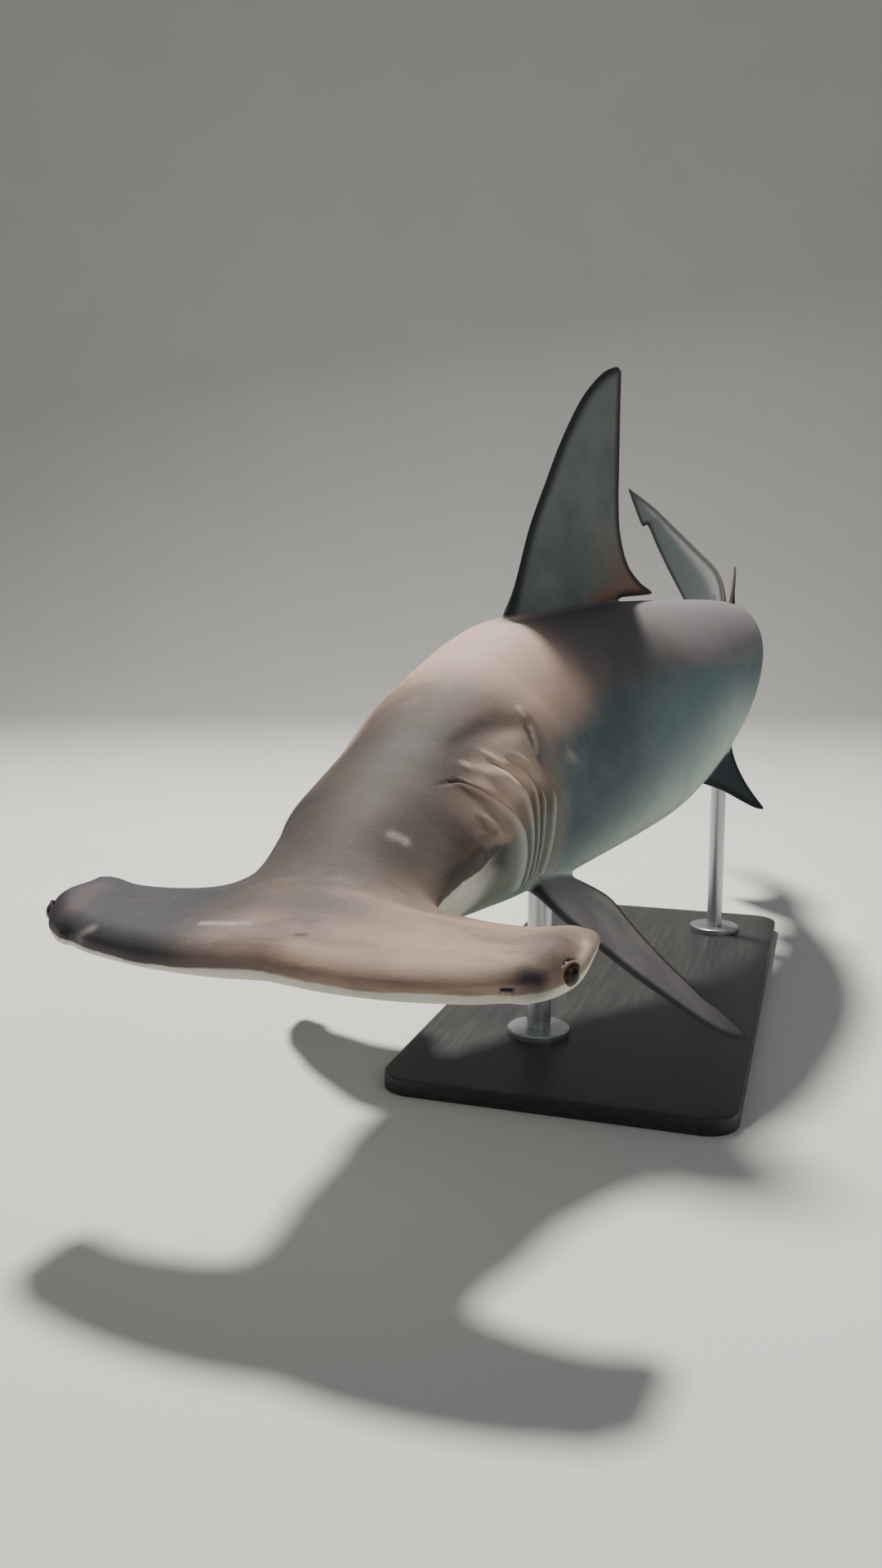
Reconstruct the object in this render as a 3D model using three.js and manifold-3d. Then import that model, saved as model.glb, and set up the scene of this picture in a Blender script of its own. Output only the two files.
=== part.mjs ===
// A great hammerhead shark as a still, life-size display model, banked as it swims, on a stand.
// Millimetres, +Z up, the head towards -Y. The origin is the middle of the stand's underside.
// The shark is drawn straight first: s runs back from the snout, y to its left and z up,
// all as shares of its length. The spine's bends then carry each point to its place.
import * as THREE from "three";
import Module from "manifold-3d";

const wasm = await Module();
wasm.setup();

// Driving dimensions
const LENGTH = 3200;
const GAP = 0.3;
const SNOUT = { x: -242.2, y: -1308, z: 408 };
const HEAD_TURN = -3;
const HEAD_CLIMB = 11;
const HEAD_ROLL = -0.55;

// Where the spine bends, in shares of the length, and by how many degrees it turns right, climbs and rolls
const BENDS = [
  { from: 0.14, to: 0.32, turn: -27.5, climb: 0.5, roll: -5.45 },
  { from: 0.3, to: 0.54, turn: 20.5, climb: -3, roll: 0.5 },
  { from: 0.46, to: 0.72, turn: 19.5, climb: -10.5, roll: 0 },
  { from: 0.72, to: 0.98, turn: 51, climb: -1, roll: 0 },
];

// Sections of the trunk: station, back, belly, half width and the height of the widest line
const TRUNK = [
  [0.13, 0.0435, -0.04, 0.0535, 0],
  [0.17, 0.0525, -0.052, 0.0557, 0],
  [0.215, 0.0678, -0.061, 0.0643, 0.002],
  [0.28, 0.087, -0.068, 0.068, 0.004],
  [0.36, 0.08, -0.067, 0.0645, 0.006],
  [0.45, 0.0655, -0.0585, 0.0475, 0.006],
  [0.55, 0.0505, -0.04, 0.0345, 0.008],
  [0.63, 0.0405, -0.024, 0.024, 0.01],
  [0.7, 0.03, -0.008, 0.0155, 0.011],
  [0.745, 0.041, 0.003, 0.0108, 0.02],
  [0.8, 0.073, 0.053, 0.0022, 0.063],
];
const BELLY_FULLNESS = { extra: 0.3, reached: 0.18, leaves: 0.5, gone: 0.7 };
const NECK = 0.13;
const TRUNK_END = 0.8;
const TRUNK_LENGTHS = [
  { name: "gill_region", from: NECK, to: 0.235 },
  { name: "trunk_front", from: 0.235, to: 0.42, rows: 8 },
  { name: "trunk_rear", from: 0.42, to: 0.6, rows: 8 },
  { name: "tail_stalk", from: 0.6, to: TRUNK_END, rows: 9 },
];

// Gill slits of the left side, as degrees round from the back and stations, from the first to the fifth
const GILL_SLITS = [
  [[33, 0.1363], [48, 0.146], [63, 0.156], [78, 0.1677], [94, 0.1768], [117, 0.181], [136, 0.188]],
  [[46, 0.173], [61, 0.18], [74, 0.1849], [96, 0.185], [112, 0.186], [130, 0.1935]],
  [[50, 0.1832], [62, 0.189], [74, 0.193], [90, 0.1905], [104, 0.1898], [128, 0.1965]],
  [[68, 0.1965], [78, 0.199], [92, 0.1958], [107, 0.194], [128, 0.2]],
  [[72, 0.209], [80, 0.2095], [92, 0.2065], [105, 0.2042], [121, 0.2053], [132, 0.2085]],
];
const GILL_FLAP = { rise: 0.0026, depth: 0.0022, width: 0.0014, fade: 14 };
const RIGHT_GILLS = { from: 56, to: 74 };

// The left half of the head seen from above: the front edge out to the corner, then round to the neck
const FRONT_EDGE = [
  [0.004, 0],
  [0.0005, 0.028],
  [0.0012, 0.058],
  [0.006, 0.086],
  [0.0105, 0.0985],
  [0.0125, 0.1072],
  [0.02, 0.1157],
];
const REAR_EDGE = [
  [0.02, 0.1157],
  [0.027, 0.1204],
  [0.036, 0.1239],
  [0.052, 0.1242],
  [0.0635, 0.1234],
  [0.0665, 0.122],
  [0.0675, 0.1185],
  [0.069, 0.111],
  [0.0645, 0.0955],
  [0.0655, 0.073],
  [0.0715, 0.0515],
  [0.083, 0.0475],
  [0.106, 0.0495],
  [0.13, 0.0535],
];
const HEAD_TOP = [
  [0, 0.0085],
  [0.02, 0.0115],
  [0.05, 0.0185],
  [0.09, 0.0325],
  [0.13, 0.0435],
];
const HEAD_UNDER = [
  [0, 0.0072],
  [0.02, 0.0088],
  [0.05, 0.017],
  [0.09, 0.029],
  [0.13, 0.04],
];
const LOBE_HALF_THICKNESS = { top: 0.0088, under: 0.0072 };
const EYE_SWELLING = { top: 0.003, under: 0.002, y: 0.113, s: 0.038, across: 0.013, along: 0.022 };
const HEAD_EDGE = { front: 0.0115, rear: 0.028, from: 0.03, to: 0.06 };
const HEAD_CORE = { half: 0.0375, from: 0.07, to: 0.125, sides: 0.11 };
const LOBE_START = 0.06;
const EYE = { s: 0.0305, y: 0.1182, z: 0.002, radius: 17, forward: 30 };
const LID = { out: 0.0022, radius: 16.2, thickness: 2.8 };
const NOSTRIL = { from: 0.074, slot: 0.094, to: 0.1045, z: 0.0022, groove: 2.2, width: 3 };
const NOTCH = { y: 0.1012, from: 0.0015, to: -0.012, inward: 0.0012, width: 5 };
const MOUTH = { front: 0.064, depth: 0.03, half: 0.033, lip: 8, sink: 4.5, line: 3 };

// Fins: leading and trailing edges from the root to the tip, as distance back and height
const FIRST_DORSAL = {
  lead: [[0.272, 0], [0.284, 0.0175], [0.299, 0.0478], [0.3143, 0.0725], [0.329, 0.0965], [0.346, 0.1192],
    [0.3625, 0.1332], [0.3735, 0.1375]],
  trail: [[0.374, 0], [0.378, 0.0022], [0.4103, 0.0042], [0.397, 0.0113], [0.3843, 0.0222], [0.377, 0.0398],
    [0.3752, 0.0594], [0.3759, 0.0833], [0.3768, 0.1114], [0.3778, 0.1355]],
  half: [0.0095, 0.0025],
};
const SECOND_DORSAL = {
  lead: [[0.63, 0], [0.642, 0.0195], [0.656, 0.035], [0.675, 0.044]],
  trail: [[0.683, 0], [0.7185, 0.003], [0.695, 0.0095], [0.682, 0.022], [0.6775, 0.0438]],
  half: [0.0045, 0.001],
};
const ANAL_FIN = {
  lead: [[0.618, 0], [0.632, 0.017], [0.648, 0.033], [0.668, 0.045]],
  trail: [[0.68, 0], [0.711, 0.004], [0.69, 0.01], [0.676, 0.021], [0.6705, 0.0448]],
  half: [0.0045, 0.001],
};
const UPPER_LOBE = {
  lead: [[0.708, 0.028], [0.745, 0.0505], [0.785, 0.0745], [0.842, 0.101], [0.8853, 0.1287], [0.9203, 0.1562],
    [0.9538, 0.1802]],
  trail: [[0.79, -0.012], [0.835, 0.0235], [0.8641, 0.0545], [0.8901, 0.0834], [0.9115, 0.1129],
    [0.9265, 0.1373], [0.9354, 0.14], [0.9545, 0.1785]],
  half: [0.0105, 0.0014],
};
const LOWER_LOBE = {
  lead: [[0.708, 0.014], [0.72, -0.012], [0.733, -0.038], [0.753, -0.07], [0.784, -0.103]],
  trail: [[0.822, 0.02], [0.808, -0.006], [0.792, -0.03], [0.7835, -0.062], [0.786, -0.1015]],
  half: [0.0065, 0.001],
};
const TAIL_SPLIT = { s: 0.77, z: 0.011 };
const PECTORAL = {
  lead: [[0, 0], [0.0015, 0.0289], [0.0132, 0.0556], [0.0243, 0.0774], [0.0368, 0.0953], [0.0504, 0.1129],
    [0.0687, 0.1257], [0.0845, 0.1295]],
  trail: [[0.062, 0], [0.0845, 0.0165], [0.0815, 0.036], [0.0785, 0.0579], [0.0802, 0.0837],
    [0.0818, 0.0974], [0.0882, 0.1065], [0.0905, 0.1265]],
  half: [0.0085, 0.0016],
};
const PELVIC = {
  lead: [[0, 0], [0.01, 0.0105], [0.0185, 0.0206], [0.0277, 0.0352], [0.0353, 0.0463], [0.0414, 0.0518]],
  trail: [[0.044, 0], [0.06, 0.001], [0.053, 0.0061], [0.0467, 0.0166], [0.0433, 0.0288], [0.0425, 0.0388],
    [0.0428, 0.0512]],
  half: [0.005, 0.001],
};

// Where the paired fins grow, the way their roots run and the way they reach out, on the left side
const PECTORAL_LEFT = { root: [0.203, 0.046, -0.036], along: [1, 0.083, -0.397], out: [0.264, 0.75, -0.655] };
const PECTORAL_RIGHT = { root: [0.203, 0.046, -0.036], along: [1, 0.083, -0.3], out: [0.3, 0.68, -0.7] };
const PELVIC_PAIR = { root: [0.425, 0.028, -0.05], along: [1, 0, 0.258], out: [0.17, 0.7, -0.98] };
const ROOT_SINK = 0.03;
const ROOT_FLARE = { extra: 0.8, reach: 0.012 };

// The stand
const BASE = { width: 640, length: 1400, height: 32, corner: 60, bevel: 4 };
const RODS = {
  front: { station: 0.3, radius: 24 },
  rear: { station: 0.6, radius: 19 },
};
const COLLAR = { radius: 62, height: 14, bevel: 3 };
const PAD = { radius: 46, height: 34 };

const COLOURS = {
  back: 0x96857a,
  fin: 0x6c6a66,
  eye: 0x14161a,
  base: 0x2b2c2e,
  steel: 0xa9acb0,
  pad: 0x3a3a3c,
};
const SKIN_ROUGHNESS = 0.6;

// Curves and tables

function smooth(from, to, x) {
  const t = THREE.MathUtils.clamp((x - from) / (to - from), 0, 1);
  return t * t * (3 - 2 * t);
}

function blend(a, b, t) {
  return a + (b - a) * t;
}

// A value read from a table of [station, ...columns] without overshooting between its rows.
function readTable(table, column, station) {
  const last = table.length - 1;
  const x = THREE.MathUtils.clamp(station, table[0][0], table[last][0]);
  const slope = (k) => (table[k + 1][column] - table[k][column]) / (table[k + 1][0] - table[k][0]);
  const tangent = (k) => {
    if (k === 0) return slope(0);
    if (k === last) return slope(last - 1);
    const before = slope(k - 1);
    const after = slope(k);
    return before * after <= 0 ? 0 : (2 * before * after) / (before + after);
  };
  let k = 0;
  while (k < last - 1 && x > table[k + 1][0]) k++;
  const step = table[k + 1][0] - table[k][0];
  const t = (x - table[k][0]) / step;
  const a = table[k][column];
  const b = table[k + 1][column];
  return (
    a * (1 + 2 * t) * (1 - t) ** 2 +
    step * tangent(k) * t * (1 - t) ** 2 +
    b * t * t * (3 - 2 * t) +
    step * tangent(k + 1) * t * t * (t - 1)
  );
}

// Evenly spaced points of a smooth curve through a few points.
function curvePoints(points, count) {
  const curve = new THREE.SplineCurve(points.map(([u, v]) => new THREE.Vector2(u, v)));
  curve.arcLengthDivisions = 400;
  return Array.from({ length: count + 1 }, (_, i) => curve.getPointAt(i / count));
}

function pointAlong(points, share) {
  const place = THREE.MathUtils.clamp(share, 0, 1) * (points.length - 1);
  const k = Math.min(Math.floor(place), points.length - 2);
  return points[k].clone().lerp(points[k + 1], place - k);
}

// Spine

const SPINE_STEPS = 400;

function spineAngles(s) {
  let turn = HEAD_TURN;
  let climb = HEAD_CLIMB;
  let roll = HEAD_ROLL;
  for (const bend of BENDS) {
    const share = smooth(bend.from, bend.to, s);
    turn += bend.turn * share;
    climb += bend.climb * share;
    roll += bend.roll * share;
  }
  return [turn, climb, roll].map(THREE.MathUtils.degToRad);
}

function spineAxes(s) {
  const [turn, climb, roll] = spineAngles(s);
  const left = new THREE.Vector3(Math.cos(turn), Math.sin(turn), 0);
  const level = new THREE.Vector3(-Math.sin(turn), Math.cos(turn), 0).multiplyScalar(Math.cos(climb));
  const back = level.setZ(Math.sin(climb));
  const up = new THREE.Vector3().crossVectors(left, back);
  const rolledLeft = left.clone().multiplyScalar(Math.cos(roll)).addScaledVector(up, Math.sin(roll));
  const rolledUp = up.clone().multiplyScalar(Math.cos(roll)).addScaledVector(left, -Math.sin(roll));
  return { back, left: rolledLeft, up: rolledUp };
}

const spinePoints = [new THREE.Vector3(SNOUT.x, SNOUT.y, SNOUT.z)];
for (let i = 0; i < SPINE_STEPS; i++) {
  const step = spineAxes((i + 0.5) / SPINE_STEPS).back.multiplyScalar(LENGTH / SPINE_STEPS);
  spinePoints.push(spinePoints[i].clone().add(step));
}

function spineFrame(s) {
  const axes = spineAxes(s);
  const place = THREE.MathUtils.clamp(s, 0, 1) * SPINE_STEPS;
  const k = Math.min(Math.floor(place), SPINE_STEPS - 1);
  const centre = spinePoints[k].clone().lerp(spinePoints[k + 1], place - k);
  return { centre, ...axes };
}

// A point of the straight shark carried to its place on the bent one.
function bent(s, y, z) {
  const { centre, left, up } = spineFrame(s);
  return centre.addScaledVector(left, y * LENGTH).addScaledVector(up, z * LENGTH);
}

// Closed surfaces

// A solid between two sheets of points with the same rows and columns, whose side edges coincide.
function slab(upper, lower) {
  const corners = [];
  const quad = (a, b, c, d) => corners.push(a, b, c, a, c, d);
  const rows = upper.length - 1;
  const columns = upper[0].length - 1;
  for (let i = 0; i < rows; i++) {
    for (let j = 0; j < columns; j++) {
      quad(upper[i][j], upper[i + 1][j], upper[i + 1][j + 1], upper[i][j + 1]);
      corners.push(lower[i][j], lower[i + 1][j + 1], lower[i + 1][j]);
      corners.push(lower[i][j], lower[i][j + 1], lower[i + 1][j + 1]);
    }
  }
  for (let j = 0; j < columns; j++) {
    quad(upper[0][j], upper[0][j + 1], lower[0][j + 1], lower[0][j]);
    quad(upper[rows][j], lower[rows][j], lower[rows][j + 1], upper[rows][j + 1]);
  }
  return solidFrom(corners);
}

// A round strip along a line of points, thinner towards its ends
const STRIP_SIDES = 5;

function strip(points, radius, outward) {
  const sheets = [[], []];
  points.forEach((point, i) => {
    const before = points[Math.max(i - 1, 0)];
    const after = points[Math.min(i + 1, points.length - 1)];
    const tangent = after.clone().sub(before).normalize();
    const across = tangent.clone().cross(outward).normalize();
    const out = across.clone().cross(tangent);
    const taper = Math.max(Math.sqrt(Math.sin((Math.PI * i) / (points.length - 1))), 0.3);
    sheets.forEach((sheet, half) => {
      const line = [];
      for (let side = 0; side <= STRIP_SIDES; side++) {
        const turn = ((Math.PI * side) / STRIP_SIDES) * (half === 0 ? 1 : -1);
        const place = point.clone().addScaledVector(across, Math.cos(turn) * radius * taper);
        line.push(place.addScaledVector(out, Math.sin(turn) * radius * taper));
      }
      sheet.push(line);
    });
  });
  return slab(sheets[0], sheets[1]);
}

// A solid from triangle corners, with like corners merged and collapsed triangles dropped.
function solidFrom(corners) {
  const index = new Map();
  const positions = [];
  const ids = corners.map((p) => {
    const key = [p.x, p.y, p.z].map((v) => Math.round(v * 500)).join();
    if (!index.has(key)) {
      index.set(key, positions.length / 3);
      positions.push(p.x, p.y, p.z);
    }
    return index.get(key);
  });
  const triangles = [];
  for (let i = 0; i < ids.length; i += 3) {
    const [a, b, c] = ids.slice(i, i + 3);
    if (a !== b && b !== c && c !== a) triangles.push(a, b, c);
  }
  const build = (order) =>
    new wasm.Manifold(
      new wasm.Mesh({
        numProp: 3,
        vertProperties: new Float32Array(positions),
        triVerts: new Uint32Array(order),
      }),
    );
  const solid = build(triangles);
  return solid.volume() > 0 ? solid : build(triangles.reverse());
}

function solidFromGeometry(geometry) {
  const flat = geometry.index ? geometry.toNonIndexed() : geometry;
  const position = flat.getAttribute("position");
  const corners = [];
  for (let i = 0; i < position.count; i++) corners.push(new THREE.Vector3().fromBufferAttribute(position, i));
  return solidFrom(corners);
}

function largestBody(solid) {
  return solid.decompose().reduce((best, body) => (body.volume() > best.volume() ? body : best));
}

const model = new THREE.Group();

function addNode(name, solid, colour, roughness, metalness = 0) {
  const mesh = largestBody(solid).getMesh();
  const count = mesh.vertProperties.length / mesh.numProp;
  const positions = new Float32Array(count * 3);
  for (let i = 0; i < count; i++) {
    positions.set(mesh.vertProperties.subarray(i * mesh.numProp, i * mesh.numProp + 3), i * 3);
  }
  const geometry = new THREE.BufferGeometry();
  geometry.setAttribute("position", new THREE.BufferAttribute(positions, 3));
  geometry.setIndex(new THREE.BufferAttribute(new Uint32Array(mesh.triVerts), 1));
  geometry.computeVertexNormals();
  const material = new THREE.MeshStandardMaterial({ color: colour, roughness, metalness });
  const node = new THREE.Mesh(geometry, material);
  node.name = name;
  model.add(node);
}

// Head

const HEAD_ROWS = 18;
const HEAD_COLUMNS = 15;
const frontCurve = curvePoints(FRONT_EDGE, 60);
const rearCurve = curvePoints(REAR_EDGE, 90);
const headOutline = [...frontCurve, ...rearCurve.slice(1)];

function distanceToOutline(s, y) {
  const point = new THREE.Vector2(s, Math.abs(y));
  const nearest = new THREE.Vector2();
  let best = Infinity;
  for (let i = 0; i < headOutline.length - 1; i++) {
    const a = headOutline[i];
    const b = headOutline[i + 1];
    const edge = nearest.subVectors(b, a);
    const along = THREE.MathUtils.clamp(point.clone().sub(a).dot(edge) / edge.lengthSq(), 0, 1);
    best = Math.min(best, a.clone().lerp(b, along).distanceTo(point));
  }
  return best;
}

// How high the rounded edge of a slab stands at a share of its rounding radius.
function rounded(share) {
  const t = THREE.MathUtils.clamp(share, 0, 1);
  return Math.sqrt(1 - (1 - t) ** 2);
}

// Heights of the head's upper and lower skins over one point of its plan.
function headHeights(s, y) {
  const across = Math.abs(y);
  const neck = smooth(HEAD_CORE.from, HEAD_CORE.to, s);
  const nearNeck = smooth(HEAD_CORE.sides, NECK, s);
  const inside = blend(distanceToOutline(s, y), Math.max(TRUNK[0][3] - across, 0), nearNeck);
  const edgeRadius = blend(HEAD_EDGE.front, HEAD_EDGE.rear, smooth(HEAD_EDGE.from, HEAD_EDGE.to, s));
  const share = inside / blend(edgeRadius, TRUNK[0][3], neck);
  const core = blend(Math.exp(-((across / HEAD_CORE.half) ** 2)), 1, neck);
  const fromEye = (across - EYE_SWELLING.y) / EYE_SWELLING.across;
  const alongEye = (s - EYE_SWELLING.s) / EYE_SWELLING.along;
  const eye = Math.exp(-(fromEye ** 2) - alongEye ** 2);
  const lobeTop = LOBE_HALF_THICKNESS.top + EYE_SWELLING.top * eye;
  const lobeUnder = LOBE_HALF_THICKNESS.under + EYE_SWELLING.under * eye;
  const top = blend(lobeTop, readTable(HEAD_TOP, 1, s), core);
  const under = blend(lobeUnder, readTable(HEAD_UNDER, 1, s), core);
  return [top * rounded(share), -under * rounded(share)];
}

// The head's plan as rows from the front edge to the neck and columns from right to left.
function headPlan(row, column) {
  const t = row / HEAD_ROWS;
  const q = Math.sin((Math.PI / 2) * (column / HEAD_COLUMNS));
  const reach = Math.abs(q);
  const middle = blend(frontCurve[0].x, NECK, t ** 1.6);
  const side = pointAlong(rearCurve, t ** 1.15);
  const corner = frontCurve[frontCurve.length - 1];
  const front = pointAlong(frontCurve, reach).x;
  const bow = front - blend(frontCurve[0].x, corner.x, reach);
  const s = (1 - t) * bow + blend(middle, side.x, reach);
  return [s, q * side.y];
}

function headSolid() {
  const sheets = [[], []];
  for (let row = 0; row <= HEAD_ROWS; row++) {
    const rows = [[], []];
    for (let column = -HEAD_COLUMNS; column <= HEAD_COLUMNS; column++) {
      const [s, y] = headPlan(row, column);
      const heights = headHeights(s, y);
      const onEdge = row === 0 || Math.abs(column) === HEAD_COLUMNS;
      const station = s - (row === HEAD_ROWS ? GAP / LENGTH : 0);
      rows.forEach((line, side) => line.push(bent(station, y, onEdge ? 0 : heights[side])));
    }
    sheets.forEach((sheet, side) => sheet.push(rows[side]));
  }
  return slab(sheets[0], sheets[1]);
}

// Trunk

const TRUNK_COLUMNS = 13;

// A point of the trunk's skin, by degrees round from the back and how far it is raised.
function trunkPoint(s, angle, side, raise) {
  const [back, belly, half, widest] = [1, 2, 3, 4].map((column) => readTable(TRUNK, column, s));
  const { extra, reached, leaves, gone } = BELLY_FULLNESS;
  const full = extra * smooth(NECK, reached, s) * (1 - smooth(leaves, gone, s));
  const power = angle > 90 ? 2 / (2 + full) : 1;
  const across = Math.sin(THREE.MathUtils.degToRad(angle));
  const rise = Math.cos(THREE.MathUtils.degToRad(angle));
  const height = (angle > 90 ? belly : back) - widest;
  const y = half * across ** power + raise * across;
  const z = widest + height * Math.abs(rise) ** power + raise * rise;
  return bent(s, side * y, z);
}

// Rows of the gill region at one angle: each slit has the rim of its flap, its groove and the skin behind
const GILL_ROWS = 3 + 3 * GILL_SLITS.length;

function gillStation(row, angle) {
  const { from, to } = TRUNK_LENGTHS[0];
  const end = to - GAP / LENGTH;
  const rims = GILL_SLITS.map((slit) => readTable(slit, 1, angle));
  const stations = [from, (from + rims[0]) / 2];
  rims.forEach((rim, k) => {
    const room = k < rims.length - 1 ? rims[k + 1] - rim : end - rim;
    const width = Math.min(GILL_FLAP.width, room / 3);
    stations.push(rim, rim + width, rim + 2 * width);
  });
  stations.push((rims[rims.length - 1] + end) / 2, end);
  const follow = smooth(5, 40, angle) * (1 - smooth(138, 175, angle));
  return blend(blend(from, end, row / GILL_ROWS), stations[row], follow);
}

// The right side, on the outer side of the neck's bend, is stretched flat above its slits.
function gillRelief(row, angle, side) {
  const slit = GILL_SLITS[Math.floor((row - 2) / 3)];
  if (!slit) return 0;
  const first = slit[0][0];
  const last = slit[slit.length - 1][0];
  const above = smooth(first, first + GILL_FLAP.fade, angle);
  const below = smooth(last - GILL_FLAP.fade, last, angle);
  const stretched = side < 0 ? smooth(RIGHT_GILLS.from, RIGHT_GILLS.to, angle) : 1;
  return above * (1 - below) * stretched * [GILL_FLAP.rise, -GILL_FLAP.depth, 0][(row - 2) % 3];
}

// The upper and lower skins of one length of the trunk, which ends a gap short of the next one.
function trunkSheets({ from, to, rows }, grow = 0) {
  const end = to === TRUNK_END ? to : to - GAP / LENGTH;
  const count = rows ?? GILL_ROWS;
  const sheets = [[], []];
  for (let row = 0; row <= count; row++) {
    sheets.forEach((sheet, half) => {
      const line = [];
      for (let column = -TRUNK_COLUMNS; column <= TRUNK_COLUMNS; column++) {
        const turn = (90 * Math.abs(column)) / TRUNK_COLUMNS;
        const angle = half === 0 ? turn : 180 - turn;
        const s = rows ? blend(from, end, row / count) : gillStation(row, angle);
        const side = Math.sign(column);
        const raise = rows ? 0 : gillRelief(row, angle, side);
        line.push(trunkPoint(s, angle, side, raise + grow / LENGTH));
      }
      sheet.push(line);
    });
  }
  return sheets;
}

// Fins

// Thickness of a fin along its chord, thickest a third of the way back.
function finProfile(v) {
  const full = 0.2969 * Math.sqrt(v) - 0.126 * v - 0.3516 * v ** 2 + 0.2843 * v ** 3 - 0.1036 * v ** 4;
  return 5 * full;
}

function finSolid(fin, rows, columns, place) {
  const lead = curvePoints(fin.lead, rows);
  const trail = curvePoints(fin.trail, rows);
  const sheets = [[], []];
  for (let row = -1; row <= rows; row++) {
    const a = lead[Math.max(row, 0)];
    const b = trail[Math.max(row, 0)];
    const sink = row < 0 ? ROOT_SINK * (fin.sink ?? 1) : 0;
    const flare = 1 + ROOT_FLARE.extra * Math.exp(-((a.y / ROOT_FLARE.reach) ** 2));
    const half = blend(fin.half[0], fin.half[1], Math.max(row, 0) / rows) * (fin.sink ? 1 : flare);
    const chord = a.distanceTo(b);
    const lines = [[], []];
    for (let column = 0; column <= columns; column++) {
      const v = (1 - Math.cos((Math.PI * column) / columns)) / 2;
      const inner = column > 0 && column < columns;
      const thick = inner ? Math.max(Math.min(half * finProfile(v), chord / 3), 0.6 / LENGTH) : 0;
      const along = blend(a.x, b.x, v);
      const out = blend(a.y, b.y, v) - sink;
      lines[0].push(place(along, out, thick));
      lines[1].push(place(along, out, -thick));
    }
    sheets.forEach((sheet, side) => sheet.push(lines[side]));
  }
  return slab(sheets[0], sheets[1]);
}

function onBack(s, height, y) {
  return bent(s, y, readTable(TRUNK, 1, s) + height);
}

function underBelly(s, height, y) {
  return bent(s, y, readTable(TRUNK, 2, s) - height);
}

function onAxis(s, height, y) {
  return bent(s, y, height);
}

// Places a paired fin's own plane on the body: along its root, out to its tip and across its thickness.
function pairedPlace(setting, side) {
  const [s, y, z] = setting.root;
  const { centre, back, left, up } = spineFrame(s);
  const toWorld = ([a, b, c]) =>
    new THREE.Vector3().addScaledVector(back, a).addScaledVector(left, b * side).addScaledVector(up, c);
  const along = toWorld(setting.along).normalize();
  const reach = toWorld(setting.out);
  const out = reach.addScaledVector(along, -reach.dot(along)).normalize();
  const across = new THREE.Vector3().crossVectors(along, out);
  const root = centre.addScaledVector(left, y * side * LENGTH).addScaledVector(up, z * LENGTH);
  return (u, v, w) =>
    root
      .clone()
      .addScaledVector(along, u * LENGTH)
      .addScaledVector(out, v * LENGTH)
      .addScaledVector(across, w * LENGTH);
}

// Building the shark

const CUTTER_GROW = 0.45;
const cutterTip = { from: TRUNK_END, to: TRUNK_END + (2 * GAP) / LENGTH, rows: 1 };
const grownSheets = [...TRUNK_LENGTHS, cutterTip].map((length) => trunkSheets(length, CUTTER_GROW));
const bodyCutter = slab(grownSheets.flatMap(([upper]) => upper), grownSheets.flatMap(([, lower]) => lower));

// The line of the mouth on the head's underside, and that of a nostril along the front edge
function mouthLine(sink) {
  const points = [];
  const steps = 20;
  for (let i = 0; i <= steps; i++) {
    const turn = Math.PI * (i / steps - 0.5);
    const s = MOUTH.front + MOUTH.depth * (1 - Math.cos(turn));
    const y = MOUTH.half * Math.sin(turn);
    points.push(bent(s, y, headHeights(s, y)[1] + sink / LENGTH));
  }
  return points;
}

function nostrilLine(from, to, side) {
  const steps = 8;
  return Array.from({ length: steps + 1 }, (_, i) => {
    const y = blend(from, to, i / steps);
    const k = frontCurve.findIndex((point) => point.y >= y);
    return bent(frontCurve[k].x, y * side, NOSTRIL.z);
  });
}

// The upright notch below a nostril
function notchLine(side) {
  const steps = 4;
  const k = frontCurve.findIndex((point) => point.y >= NOTCH.y);
  return Array.from({ length: steps + 1 }, (_, i) =>
    bent(frontCurve[k].x + NOTCH.inward, NOTCH.y * side, blend(NOTCH.from, NOTCH.to, i / steps)),
  );
}

// The way an eye looks: out to its side and a little forward
function eyeAxis(side) {
  const { left, back } = spineFrame(EYE.s);
  const turn = THREE.MathUtils.degToRad(EYE.forward);
  return left.clone().multiplyScalar(side * Math.cos(turn)).addScaledVector(back, -Math.sin(turn));
}

function lidSolid(side) {
  const axis = eyeAxis(side);
  const ring = new THREE.TorusGeometry(LID.radius, LID.thickness, 6, 18);
  ring.applyQuaternion(new THREE.Quaternion().setFromUnitVectors(new THREE.Vector3(0, 0, 1), axis));
  const middle = bent(EYE.s, EYE.y * side, EYE.z).addScaledVector(axis, LID.out * LENGTH);
  ring.translate(middle.x, middle.y, middle.z);
  return solidFromGeometry(ring);
}

function eyeSolid(side, grow) {
  const ball = new THREE.SphereGeometry(EYE.radius + grow, 16, 12);
  const middle = bent(EYE.s, EYE.y * side, EYE.z);
  ball.translate(middle.x, middle.y, middle.z);
  return solidFromGeometry(ball);
}

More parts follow.
